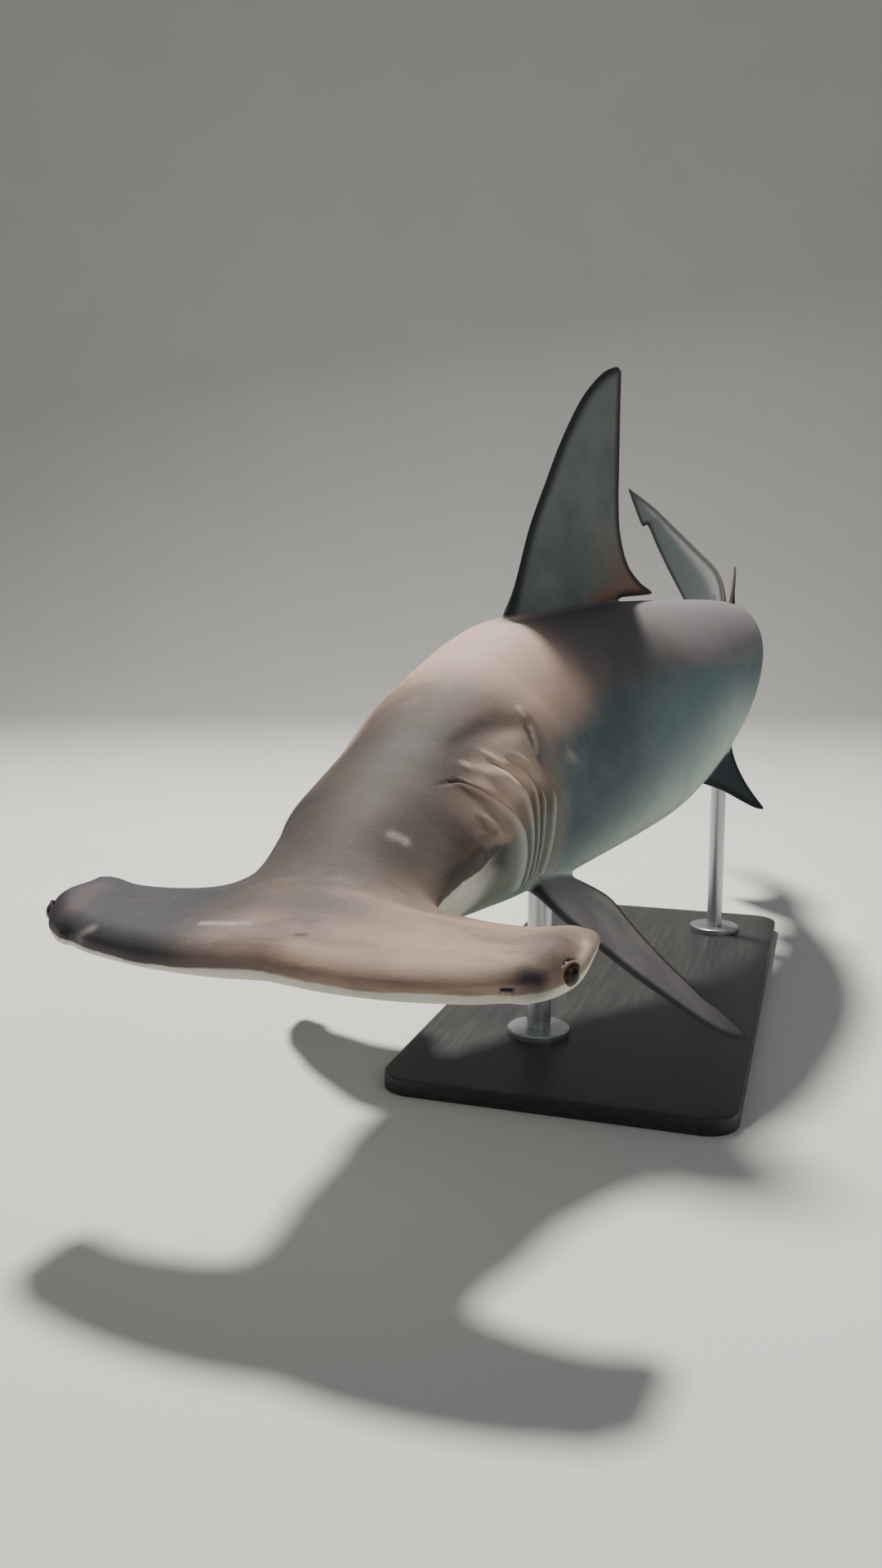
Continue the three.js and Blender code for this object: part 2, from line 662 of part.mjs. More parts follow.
function buildHead() {
  const { centre, left, up, back } = spineFrame(0);
  const offset = centre.dot(left);
  const edge = LOBE_START * LENGTH;
  const head = headSolid();
  const lips = strip(mouthLine(MOUTH.sink), MOUTH.lip, up);
  const mouth = strip(mouthLine(0), MOUTH.line, up);
  let core = head.add(lips).subtract(mouth);
  for (const [side, name] of [[1, "left"], [-1, "right"]]) {
    const normal = left.clone().multiplyScalar(side).toArray();
    const nostril = strip(nostrilLine(NOSTRIL.from, NOSTRIL.to, side), NOSTRIL.groove, back);
    const slot = strip(nostrilLine(NOSTRIL.slot, NOSTRIL.to, side), NOSTRIL.width, back);
    const lobe = head.trimByPlane(normal, offset * side + edge + GAP / 2).add(lidSolid(side));
    const notch = strip(notchLine(side), NOTCH.width, back);
    const cut = lobe.subtract(eyeSolid(side, GAP)).subtract(nostril).subtract(slot).subtract(notch);
    core = core.trimByPlane(left.clone().multiplyScalar(-side).toArray(), -offset * side - edge + GAP / 2);
    addNode(`hammer_lobe_${name}`, cut, COLOURS.back, SKIN_ROUGHNESS);
    addNode(`eye_${name}`, eyeSolid(side, 0), COLOURS.eye, 0.15);
  }
  addNode("head_core", core, COLOURS.back, SKIN_ROUGHNESS);
}

function buildTrunk() {
  for (const length of TRUNK_LENGTHS) {
    addNode(length.name, slab(...trunkSheets(length)), COLOURS.back, SKIN_ROUGHNESS);
  }
}

function buildMedianFins() {
  const build = (name, fin, rows, columns, place) => {
    addNode(name, finSolid(fin, rows, columns, place).subtract(bodyCutter), COLOURS.fin, SKIN_ROUGHNESS);
  };
  build("first_dorsal_fin", FIRST_DORSAL, 14, 8, onBack);
  build("second_dorsal_fin", SECOND_DORSAL, 8, 6, onBack);
  build("anal_fin", ANAL_FIN, 8, 6, underBelly);
}

function buildTailFin() {
  const { centre, up } = spineFrame(TAIL_SPLIT.s);
  const height = centre.dot(up) + TAIL_SPLIT.z * LENGTH;
  const downNormal = up.clone().negate().toArray();
  const upper = finSolid({ ...UPPER_LOBE, sink: 0.5 }, 20, 8, onAxis).subtract(bodyCutter);
  const lower = finSolid({ ...LOWER_LOBE, sink: 0.3 }, 10, 8, onAxis).subtract(bodyCutter);
  const upperTrimmed = upper.trimByPlane(up.toArray(), height + GAP / 2);
  const lowerTrimmed = lower.trimByPlane(downNormal, -height + GAP / 2);
  addNode("caudal_upper_lobe", upperTrimmed, COLOURS.fin, SKIN_ROUGHNESS);
  addNode("caudal_lower_lobe", lowerTrimmed, COLOURS.fin, SKIN_ROUGHNESS);
}

function buildPairedFins() {
  const build = (name, fin, rows, setting, side) => {
    const solid = finSolid(fin, rows, 8, pairedPlace(setting, side));
    addNode(name, solid.subtract(bodyCutter), COLOURS.fin, SKIN_ROUGHNESS);
  };
  build("pectoral_fin_left", PECTORAL, 14, PECTORAL_LEFT, 1);
  build("pectoral_fin_right", PECTORAL, 14, PECTORAL_RIGHT, -1);
  build("pelvic_fin_left", PELVIC, 8, PELVIC_PAIR, 1);
  build("pelvic_fin_right", PELVIC, 8, PELVIC_PAIR, -1);
}

// Building the stand

function roundedRectangle(width, length, corner) {
  const x = width / 2;
  const y = length / 2;
  const shape = new THREE.Shape();
  shape.moveTo(-x + corner, -y);
  shape.lineTo(x - corner, -y);
  shape.absarc(x - corner, -y + corner, corner, -Math.PI / 2, 0);
  shape.lineTo(x, y - corner);
  shape.absarc(x - corner, y - corner, corner, 0, Math.PI / 2);
  shape.lineTo(-x + corner, y);
  shape.absarc(-x + corner, y - corner, corner, Math.PI / 2, Math.PI);
  shape.lineTo(-x, -y + corner);
  shape.absarc(-x + corner, -y + corner, corner, Math.PI, Math.PI * 1.5);
  return shape;
}

function baseSolid() {
  const inset = BASE.bevel * 2;
  const outline = roundedRectangle(BASE.width - inset, BASE.length - inset, BASE.corner - BASE.bevel);
  const geometry = new THREE.ExtrudeGeometry(outline, {
    depth: BASE.height - inset,
    bevelEnabled: true,
    bevelThickness: BASE.bevel,
    bevelSize: BASE.bevel,
    bevelSegments: 2,
    curveSegments: 6,
  });
  geometry.translate(0, 0, BASE.bevel);
  return solidFromGeometry(geometry);
}

// A turned piece from a profile of radius and height pairs.
function turned(profile, x, y) {
  const geometry = new THREE.LatheGeometry(profile.map(([r, z]) => new THREE.Vector2(r, z)), 24);
  geometry.rotateX(Math.PI / 2);
  geometry.translate(x, y, 0);
  return solidFromGeometry(geometry);
}

function buildStand() {
  addNode("stand_base", baseSolid(), COLOURS.base, 0.45);
  const floor = BASE.height + GAP;
  for (const [name, rod] of Object.entries(RODS)) {
    const { centre } = spineFrame(rod.station);
    const belly = bent(rod.station, 0, readTable(TRUNK, 2, rod.station)).z;
    const padFoot = belly - PAD.height;
    const collarTop = floor + COLLAR.height;
    const collar = [
      [0, floor],
      [COLLAR.radius, floor],
      [COLLAR.radius, collarTop - COLLAR.bevel],
      [COLLAR.radius - COLLAR.bevel, collarTop],
      [0, collarTop],
    ];
    const shaft = [
      [0, collarTop + GAP],
      [rod.radius, collarTop + GAP],
      [rod.radius, padFoot],
      [0, padFoot],
    ];
    const pad = [
      [0, padFoot + GAP],
      [rod.radius, padFoot + GAP],
      [PAD.radius, padFoot + PAD.height * 0.6],
      [PAD.radius, belly + PAD.height],
      [0, belly + PAD.height],
    ];
    addNode(`stand_collar_${name}`, turned(collar, centre.x, centre.y), COLOURS.steel, 0.35, 0.9);
    addNode(`stand_rod_${name}`, turned(shaft, centre.x, centre.y), COLOURS.steel, 0.35, 0.9);
    addNode(`stand_pad_${name}`, turned(pad, centre.x, centre.y).subtract(bodyCutter), COLOURS.pad, 0.8);
  }
}

buildHead();
buildTrunk();
buildMedianFins();
buildTailFin();
buildPairedFins();
buildStand();

export default model;
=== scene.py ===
"""A great hammerhead shark as a still, life-size display model, banked as it swims, on a stand."""

import math

import bpy
import numpy as np
from mathutils.kdtree import KDTree
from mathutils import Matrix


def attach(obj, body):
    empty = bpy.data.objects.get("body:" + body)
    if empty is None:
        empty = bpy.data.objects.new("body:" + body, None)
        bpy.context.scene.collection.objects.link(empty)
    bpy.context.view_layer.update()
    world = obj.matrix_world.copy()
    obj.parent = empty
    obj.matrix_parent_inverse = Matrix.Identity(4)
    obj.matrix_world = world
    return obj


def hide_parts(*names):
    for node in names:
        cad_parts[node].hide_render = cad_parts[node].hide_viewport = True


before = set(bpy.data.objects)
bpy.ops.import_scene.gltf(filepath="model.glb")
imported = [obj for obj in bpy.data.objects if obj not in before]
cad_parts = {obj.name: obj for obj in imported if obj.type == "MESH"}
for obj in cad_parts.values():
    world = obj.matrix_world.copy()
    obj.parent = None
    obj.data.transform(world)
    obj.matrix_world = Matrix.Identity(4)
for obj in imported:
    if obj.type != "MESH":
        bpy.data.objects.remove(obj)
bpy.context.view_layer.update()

# Named sizes, in shares of the shark's length; the length is in metres

LENGTH = 3.2
SNOUT = (-0.2422, -1.308, 0.408)
HEAD_TURN = -3
HEAD_CLIMB = 11
HEAD_ROLL = -0.55
# Each bend of the spine: from, to, and the degrees it turns right, climbs and rolls
BENDS = [
    (0.14, 0.32, -27.5, 0.5, -5.45), (0.3, 0.54, 20.5, -3, 0.5),
    (0.46, 0.72, 19.5, -10.5, 0), (0.72, 0.98, 51, -1, 0),
]

# Sections of the trunk: station, back, belly, half width and the height of the widest line
TRUNK = [
    (0.13, 0.0435, -0.04, 0.0535, 0), (0.17, 0.0525, -0.052, 0.0557, 0),
    (0.215, 0.0678, -0.061, 0.0643, 0.002), (0.28, 0.087, -0.068, 0.068, 0.004),
    (0.36, 0.08, -0.067, 0.0645, 0.006), (0.45, 0.0655, -0.0585, 0.0475, 0.006),
    (0.55, 0.0505, -0.04, 0.0345, 0.008), (0.63, 0.0405, -0.024, 0.024, 0.01),
    (0.7, 0.03, -0.008, 0.0155, 0.011), (0.745, 0.041, 0.003, 0.0108, 0.02),
    (0.8, 0.073, 0.053, 0.0022, 0.063),
]
NECK = 0.13
GILL_END = 0.235
TRUNK_END = 0.8
BELLY_FULLNESS = {"extra": 0.3, "reached": 0.18, "leaves": 0.5, "gone": 0.7}

# Gill slits, as degrees round from the back and stations, from the first to the fifth
GILL_SLITS = [
    [(33, 0.1363), (48, 0.146), (63, 0.156), (78, 0.1677), (94, 0.1768), (117, 0.181), (136, 0.188)],
    [(46, 0.173), (61, 0.18), (74, 0.1849), (96, 0.185), (112, 0.186), (130, 0.1935)],
    [(50, 0.1832), (62, 0.189), (74, 0.193), (90, 0.1905), (104, 0.1898), (128, 0.1965)],
    [(68, 0.1965), (78, 0.199), (92, 0.1958), (107, 0.194), (128, 0.2)],
    [(72, 0.209), (80, 0.2095), (92, 0.2065), (105, 0.2042), (121, 0.2053), (132, 0.2085)],
]
GILL_FLAP = {"rise": 0.0026, "depth": 0.003, "width": 0.0014, "fade": 14}
RIGHT_GILLS = {"from": 56, "to": 74}

# The left half of the head seen from above, and its heights along the middle
FRONT_EDGE = [
    (0.004, 0), (0.0005, 0.028), (0.0012, 0.058), (0.006, 0.086), (0.0105, 0.0985), (0.0125, 0.1072),
    (0.02, 0.1157),
]
REAR_EDGE = [
    (0.02, 0.1157), (0.027, 0.1204), (0.036, 0.1239), (0.052, 0.1242), (0.0635, 0.1234), (0.0665, 0.122),
    (0.0675, 0.1185), (0.069, 0.111), (0.0645, 0.0955), (0.0655, 0.073), (0.0715, 0.0515),
    (0.083, 0.0475), (0.106, 0.0495), (0.13, 0.0535),
]
HEAD_TOP = [(0, 0.0085), (0.02, 0.0115), (0.05, 0.0185), (0.09, 0.0325), (0.13, 0.0435)]
HEAD_UNDER = [(0, 0.0072), (0.02, 0.0088), (0.05, 0.017), (0.09, 0.029), (0.13, 0.04)]
LOBE_HALF_THICKNESS = {"top": 0.0088, "under": 0.0072}
EYE_SWELLING = {"top": 0.003, "under": 0.002, "y": 0.113, "s": 0.038, "across": 0.013, "along": 0.022}
HEAD_EDGE = {"front": 0.0115, "rear": 0.028, "from": 0.03, "to": 0.06}
HEAD_CORE = {"half": 0.0375, "from": 0.07, "to": 0.125, "sides": 0.11}
EYE = {"s": 0.0305, "y": 0.1182, "z": 0.002, "radius": 0.017, "forward": 30}
LID = {"out": 0.0022, "radius": 0.0162, "thickness": 0.0028}
NOSTRIL = {"from": 0.074, "slot": 0.094, "to": 0.1045, "z": 0.0022, "groove": 0.0014, "width": 0.0024}
NOTCH = {"y": 0.1012, "from": 0.0015, "to": -0.012, "inward": 0.0028, "width": 0.0075}
MOUTH = {"front": 0.064, "depth": 0.03, "half": 0.033, "lip": 0.008, "sink": 0.0045, "line": 0.0024}

# Fins: leading and trailing edges from the root to the tip, as distance back and height
FIRST_DORSAL = {
    "lead": [(0.272, 0), (0.284, 0.0175), (0.299, 0.0478), (0.3143, 0.0725), (0.329, 0.0965), (0.346, 0.1192),
             (0.3625, 0.1332), (0.3735, 0.1375)],
    "trail": [(0.374, 0), (0.378, 0.0022), (0.4103, 0.0042), (0.397, 0.0113), (0.3843, 0.0222),
              (0.377, 0.0398), (0.3752, 0.0594), (0.3759, 0.0833), (0.3768, 0.1114), (0.3778, 0.1355)],
    "half": (0.0095, 0.0025),
}
SECOND_DORSAL = {
    "lead": [(0.63, 0), (0.642, 0.0195), (0.656, 0.035), (0.675, 0.044)],
    "trail": [(0.683, 0), (0.7185, 0.003), (0.695, 0.0095), (0.682, 0.022), (0.6775, 0.0438)],
    "half": (0.0045, 0.001),
}
ANAL_FIN = {
    "lead": [(0.618, 0), (0.632, 0.017), (0.648, 0.033), (0.668, 0.045)],
    "trail": [(0.68, 0), (0.711, 0.004), (0.69, 0.01), (0.676, 0.021), (0.6705, 0.0448)],
    "half": (0.0045, 0.001),
}
UPPER_LOBE = {
    "lead": [(0.708, 0.028), (0.745, 0.0505), (0.785, 0.0745), (0.842, 0.101), (0.8853, 0.1287),
             (0.9203, 0.1562), (0.9538, 0.1802)],
    "trail": [(0.79, -0.012), (0.835, 0.0235), (0.8641, 0.0545), (0.8901, 0.0834), (0.9115, 0.1129),
              (0.9265, 0.1373), (0.9354, 0.14), (0.9545, 0.1785)],
    "half": (0.0105, 0.0014),
    "sink": 0.5,
}
LOWER_LOBE = {
    "lead": [(0.708, 0.014), (0.72, -0.012), (0.733, -0.038), (0.753, -0.07), (0.784, -0.103)],
    "trail": [(0.822, 0.02), (0.808, -0.006), (0.792, -0.03), (0.7835, -0.062), (0.786, -0.1015)],
    "half": (0.0065, 0.001),
    "sink": 0.3,
}
PECTORAL = {
    "lead": [(0, 0), (0.0015, 0.0289), (0.0132, 0.0556), (0.0243, 0.0774), (0.0368, 0.0953), (0.0504, 0.1129),
             (0.0687, 0.1257), (0.0845, 0.1295)],
    "trail": [(0.062, 0), (0.0845, 0.0165), (0.0815, 0.036), (0.0785, 0.0579), (0.0802, 0.0837),
              (0.0818, 0.0974), (0.0882, 0.1065), (0.0905, 0.1265)],
    "half": (0.0085, 0.0016),
}
PELVIC = {
    "lead": [(0, 0), (0.01, 0.0105), (0.0185, 0.0206), (0.0277, 0.0352), (0.0353, 0.0463), (0.0414, 0.0518)],
    "trail": [(0.044, 0), (0.06, 0.001), (0.053, 0.0061), (0.0467, 0.0166), (0.0433, 0.0288),
              (0.0425, 0.0388), (0.0428, 0.0512)],
    "half": (0.005, 0.001),
}
PECTORAL_LEFT = {"root": (0.203, 0.046, -0.036), "along": (1, 0.083, -0.397), "out": (0.264, 0.75, -0.655)}
PECTORAL_RIGHT = {"root": (0.203, 0.046, -0.036), "along": (1, 0.083, -0.3), "out": (0.3, 0.68, -0.7)}
PELVIC_PAIR = {"root": (0.425, 0.028, -0.05), "along": (1, 0, 0.258), "out": (0.17, 0.7, -0.98)}
ROOT_SINK = 0.03
ROOT_FLARE = {"extra": 0.8, "reach": 0.012}

# The stand, in metres
BASE = {"width": 0.64, "length": 1.4, "height": 0.032, "corner": 0.06, "bevel": 0.004}
RODS = {"front": (0.3, 0.024), "rear": (0.6, 0.019)}
COLLAR = {"radius": 0.062, "height": 0.014, "bevel": 0.003}
PAD = {"radius": 0.046, "height": 0.034}
GAP = 0.0003

# The camera, set by the photograph: its place, heading, and the focal length and horizon in its own pixels
CAMERA = {"place": (0.43, -2.62, 0.87), "heading": 18, "focal": 1460, "horizon": 745}
PHOTO = (1080, 1920)

FLESH = [
    "head_core", "hammer_lobe_left", "hammer_lobe_right", "gill_region", "trunk_front", "trunk_rear",
    "tail_stalk", "first_dorsal_fin", "second_dorsal_fin", "anal_fin", "caudal_upper_lobe",
    "caudal_lower_lobe", "pectoral_fin_left", "pectoral_fin_right", "pelvic_fin_left", "pelvic_fin_right",
]


# Curves and tables


def smooth(start, end, x):
    t = np.clip((np.asarray(x, float) - start) / (end - start), 0, 1)
    return t * t * (3 - 2 * t)


def blend(a, b, t):
    return a + (b - a) * t


def read_table(table, column, x):
    """A value read from rows of (station, ...columns) without overshooting between the rows."""
    stations = np.array([row[0] for row in table], float)
    values = np.array([row[column] for row in table], float)
    slope = np.diff(values) / np.diff(stations)
    tangent = np.zeros(len(values))
    tangent[0], tangent[-1] = slope[0], slope[-1]
    for k in range(1, len(values) - 1):
        before, after = slope[k - 1], slope[k]
        tangent[k] = 0 if before * after <= 0 else 2 * before * after / (before + after)
    x = np.clip(np.asarray(x, float), stations[0], stations[-1])
    k = np.clip(np.searchsorted(stations, x, "right") - 1, 0, len(values) - 2)
    step = stations[k + 1] - stations[k]
    t = (x - stations[k]) / step
    return (
        values[k] * (1 + 2 * t) * (1 - t) ** 2
        + step * tangent[k] * t * (1 - t) ** 2
        + values[k + 1] * t * t * (3 - 2 * t)
        + step * tangent[k + 1] * t * t * (t - 1)
    )


def curve_points(points, count):
    """Evenly spaced points of a smooth curve through a few points."""
    points = np.array(points, float)
    padded = np.vstack([points[:1], points, points[-1:]])
    pieces = []
    t = np.linspace(0, 1, 400, endpoint=False)[:, None]
    for k in range(1, len(padded) - 2):
        p0, p1, p2, p3 = padded[k - 1 : k + 3]
        v0, v1 = (p2 - p0) / 2, (p3 - p1) / 2
        cubic, square = 2 * p1 - 2 * p2 + v0 + v1, -3 * p1 + 3 * p2 - 2 * v0 - v1
        pieces.append(cubic * t**3 + square * t**2 + v0 * t + p1)
    dense = np.vstack([*pieces, points[-1:]])
    return even_points(dense, np.linspace(0, 1, count + 1))


def even_points(line, shares):
    """Points of a polyline at shares of its length."""
    run = np.concatenate([[0], np.cumsum(np.linalg.norm(np.diff(line, axis=0), axis=1))])
    run /= run[-1]
    return np.stack([np.interp(shares, run, line[:, k]) for k in range(line.shape[1])], -1)


CHUNK = 20000


def distance_to_line(points, line):
    """Distance of each point to a polyline, in chunks that spare the memory."""
    a = line[:-1]
    edge = line[1:] - a
    size = np.maximum((edge**2).sum(1), 1e-12)
    flat = points.reshape(-1, line.shape[1])
    best = np.empty(len(flat))
    for start in range(0, len(flat), CHUNK):
        to = flat[start : start + CHUNK, None] - a[None]
        share = np.clip((to * edge[None]).sum(-1) / size, 0, 1)
        best[start : start + CHUNK] = np.sqrt(((to - share[..., None] * edge[None]) ** 2).sum(-1).min(1))
    return best.reshape(points.shape[:-1])


# Spine

SPINE_STEPS = 400


def spine_axes(s):
    s = np.asarray(s, float)
    turn, climb, roll = HEAD_TURN + 0 * s, HEAD_CLIMB + 0 * s, HEAD_ROLL + 0 * s
    for start, end, turns, climbs, rolls in BENDS:
        share = smooth(start, end, s)
        turn, climb, roll = turn + turns * share, climb + climbs * share, roll + rolls * share
    turn, climb, roll = np.radians(turn), np.radians(climb), np.radians(roll)
    back = np.stack([-np.sin(turn) * np.cos(climb), np.cos(turn) * np.cos(climb), np.sin(climb)], -1)
    left = np.stack([np.cos(turn), np.sin(turn), 0 * turn], -1)
    up = np.cross(left, back)
    cosine, sine = np.cos(roll)[..., None], np.sin(roll)[..., None]
    return back, left * cosine + up * sine, up * cosine - left * sine


spine_steps = spine_axes((np.arange(SPINE_STEPS) + 0.5) / SPINE_STEPS)[0] * LENGTH / SPINE_STEPS
spine_points = np.array(SNOUT) + np.vstack([np.zeros(3), np.cumsum(spine_steps, 0)])


def bent(s, y, z):
    """Points of the straight shark carried to their places on the bent one."""
    s, y, z = np.broadcast_arrays(*(np.asarray(v, float) for v in (s, y, z)))
    _, left, up = spine_axes(s)
    share = np.clip(s, 0, 1) * SPINE_STEPS
    steps = np.arange(SPINE_STEPS + 1)
    centre = np.stack([np.interp(share, steps, spine_points[:, k]) for k in range(3)], -1)
    return centre + LENGTH * (y[..., None] * left + z[..., None] * up)


# Head and trunk

COLUMNS = 120
HEAD_ROWS = 170
# Powers that crowd the head's rows towards the front: the rows, their middles and their ends
HEAD_SPACING = {"rows": 1.2, "middle": 1.6, "sides": 1.15}
# The trunk's rows behind the gills: from, to and how many
REAR_ROWS = [(GILL_END, 0.42, 130), (0.42, 0.6, 110), (0.6, TRUNK_END, 110)]
front_curve = curve_points(FRONT_EDGE, 60)
# The finer head bulges past the solid's facets, so its front edge is set back by a share of the length
FRONT_SET_BACK = 0.0003
front_curve[:, 0] += FRONT_SET_BACK * (1 - np.linspace(0, 1, len(front_curve)) ** 4)
rear_curve = curve_points(REAR_EDGE, 90)
head_outline = np.vstack([front_curve, rear_curve[1:]])
column_steps = np.arange(-COLUMNS, COLUMNS + 1)
across_columns = np.sin(np.pi / 2 * column_steps / COLUMNS)
# Degrees of the columns round from the back, on the upper and the lower sheet
column_angles = (90 * np.abs(column_steps) / COLUMNS)[None]
SHEET_ANGLES = (column_angles, 180 - column_angles)


def rounded(share):
    """How high the rounded edge of a slab stands at a share of its rounding radius."""
    return np.sqrt(1 - (1 - np.clip(share, 0, 1)) ** 2)


def head_heights(s, y):
    """Heights of the head's upper and lower skins over points of its plan."""
    across = np.abs(y)
    neck = smooth(HEAD_CORE["from"], HEAD_CORE["to"], s)
    near_neck = smooth(HEAD_CORE["sides"], NECK, s)
    side = TRUNK[0][3]
    to_outline = distance_to_line(np.stack([s, across], -1), head_outline)
    inside = blend(to_outline, np.maximum(side - across, 0), near_neck)
    radius = blend(HEAD_EDGE["front"], HEAD_EDGE["rear"], smooth(HEAD_EDGE["from"], HEAD_EDGE["to"], s))
    share = inside / blend(radius, side, neck)
    core = blend(np.exp(-((across / HEAD_CORE["half"]) ** 2)), 1, neck)
    from_eye = (across - EYE_SWELLING["y"]) / EYE_SWELLING["across"]
    along_eye = (s - EYE_SWELLING["s"]) / EYE_SWELLING["along"]
    eye = np.exp(-(from_eye**2) - along_eye**2)
    lobe_top = LOBE_HALF_THICKNESS["top"] + EYE_SWELLING["top"] * eye
    lobe_under = LOBE_HALF_THICKNESS["under"] + EYE_SWELLING["under"] * eye
    top = blend(lobe_top, read_table(HEAD_TOP, 1, s), core)
    under = blend(lobe_under, read_table(HEAD_UNDER, 1, s), core)
    return top * rounded(share), -under * rounded(share)


def head_sheets():
    """Upper and lower sheets of the head, as stations, places across and heights."""
    t = ((np.arange(HEAD_ROWS + 1) / HEAD_ROWS) ** HEAD_SPACING["rows"])[:, None]
    q = across_columns[None]
    reach = np.abs(q)
    middle = blend(front_curve[0, 0], NECK, t ** HEAD_SPACING["middle"])
    rear_shares = np.linspace(0, 1, len(rear_curve))
    ends = t ** HEAD_SPACING["sides"]
    side = np.stack([np.interp(ends, rear_shares, rear_curve[:, k]) for k in (0, 1)], -1)
    front_shares = np.linspace(0, 1, len(front_curve))
    front = np.interp(reach, front_shares, front_curve[:, 0])
    bow = front - blend(front_curve[0, 0], front_curve[-1, 0], reach)
    s = (1 - t) * bow + blend(middle, side[..., 0], reach)
    y = q * side[..., 1]
    top, under = head_heights(s, y)
    for heights in (top, under):
        heights[0] = 0
        heights[:, [0, -1]] = 0
    return [np.stack([s, y, heights], -1) for heights in (top, under)]


def trunk_place(s, angle, side):
    """Places on the trunk's skin, by degrees round from the back."""
    back, belly, half, widest = (read_table(TRUNK, column, s) for column in (1, 2, 3, 4))
    thins = 1 - smooth(BELLY_FULLNESS["leaves"], BELLY_FULLNESS["gone"], s)
    full = BELLY_FULLNESS["extra"] * smooth(NECK, BELLY_FULLNESS["reached"], s) * thins
    power = np.where(angle > 90, 2 / (2 + full), 1)
    across, rise = np.sin(np.radians(angle)), np.cos(np.radians(angle))
    reach = np.where(angle > 90, belly, back) - widest
    return np.stack([s, side * half * np.abs(across) ** power, widest + reach * np.abs(rise) ** power], -1)


GILL_ROWS = 3 + 3 * len(GILL_SLITS)
# Fine rows in each step of the gill region: to the first rim, then rim to groove, groove to skin, on
GILL_STEPS = [12, 16] + [4, 5, 7] * len(GILL_SLITS)
GILL_STEPS[-1] = 14
# Degrees at which the rows turn from straight to following the slits, and back to straight
GILL_FOLLOW = (5, 40, 138, 175)
# A slit's shape: how much of the rise comes early and late, and the share of the depth where the groove ends
GILL_RISE = (0.45, 0.55)
GILL_SHALLOW = 0.4


def gill_stations(row, angle):
    """Stations of the gill region's rows, which follow the slits on the sides."""
    rims = [read_table(slit, 1, angle) for slit in GILL_SLITS]
    anchors = [NECK + 0 * angle, (NECK + rims[0]) / 2]
    for k, rim in enumerate(rims):
        room = (rims[k + 1] if k < len(rims) - 1 else GILL_END) - rim
        width = np.minimum(GILL_FLAP["width"], room / 3)
        anchors += [rim, rim + width, rim + 2 * width]
    anchors += [(rims[-1] + GILL_END) / 2, GILL_END + 0 * angle]
    anchors = np.stack(anchors)
    k = np.minimum(np.floor(row).astype(int), GILL_ROWS - 1)
    low, high = (np.take_along_axis(anchors, (k + ahead)[None], 0)[0] for ahead in (0, 1))
    followed = blend(low, high, row - k)
    follow = smooth(*GILL_FOLLOW[:2], angle) * (1 - smooth(*GILL_FOLLOW[2:], angle))
    return blend(blend(NECK, GILL_END, row / GILL_ROWS), followed, follow)


def slit_strength(k, angle, side):
    """How open a slit is; the right side, outside the neck's bend, is stretched flat above."""
    first, last = GILL_SLITS[k][0][0], GILL_SLITS[k][-1][0]
    fade = GILL_FLAP["fade"]
    stretched = np.where(side < 0, smooth(RIGHT_GILLS["from"], RIGHT_GILLS["to"], angle), 1)
    return smooth(first, first + fade, angle) * (1 - smooth(last - fade, last, angle)) * stretched


def gill_relief(row, angle, side):
    """How far the skin is raised at each row of the gill region, and how deep it lies in a slit, which sets
    the painted shade there.
    """
    raised = np.zeros_like(angle)
    slit_shade = np.zeros_like(angle)
    for k in range(len(GILL_SLITS)):
        strength = slit_strength(k, angle, side)
        f = row - 2 - 3 * k
        t = np.clip(f + 1, 0, 1)
        rim, floor = GILL_FLAP["rise"] * strength, -GILL_FLAP["depth"] * strength
        raised += np.where((f >= -1) & (f < 0), rim * (GILL_RISE[0] * t**1.5 + GILL_RISE[1] * t**6), 0)
        raised += np.where((f >= 0) & (f < 1), blend(rim, floor, smooth(0, 1, f)), 0)
        raised += np.where((f >= 1) & (f < 2), blend(floor, GILL_SHALLOW * floor, smooth(1, 2, f)), 0)
        raised += np.where((f >= 2) & (f < 3), GILL_SHALLOW * floor * (1 - smooth(2, 3, f)), 0)
        slit_shade = np.maximum(slit_shade, strength * smooth(0.1, 0.7, f) * (1 - smooth(1.1, 1.9, f)))
    return raised, slit_shade


def trunk_sheets():
    """Upper and lower sheets of the trunk, with their raise and the depth in the gill slits that sets the
    painted shade there.
    """
    steps = np.concatenate([k + np.arange(1, n + 1) / n for k, n in enumerate(GILL_STEPS)])
    rear = np.concatenate([blend(a, b, np.arange(1, n + 1) / n) for a, b, n in REAR_ROWS])
    side = np.sign(column_steps)[None]
    sheets = []
    for angle in SHEET_ANGLES:
        gill_angle = np.repeat(angle, len(steps), 0)
        row = np.repeat(steps[:, None], angle.shape[1], 1)
        s = np.vstack([gill_stations(row, gill_angle), np.repeat(rear[:, None], angle.shape[1], 1)])
        angles = np.repeat(angle, len(s), 0)
        raised, slit_shade = gill_relief(row, gill_angle, side)
        empty = np.zeros((len(rear), angle.shape[1]))
        places = trunk_place(s, angles, side)
        sheets.append((places, angles, np.vstack([raised, empty]), np.vstack([slit_shade, empty])))
    return sheets
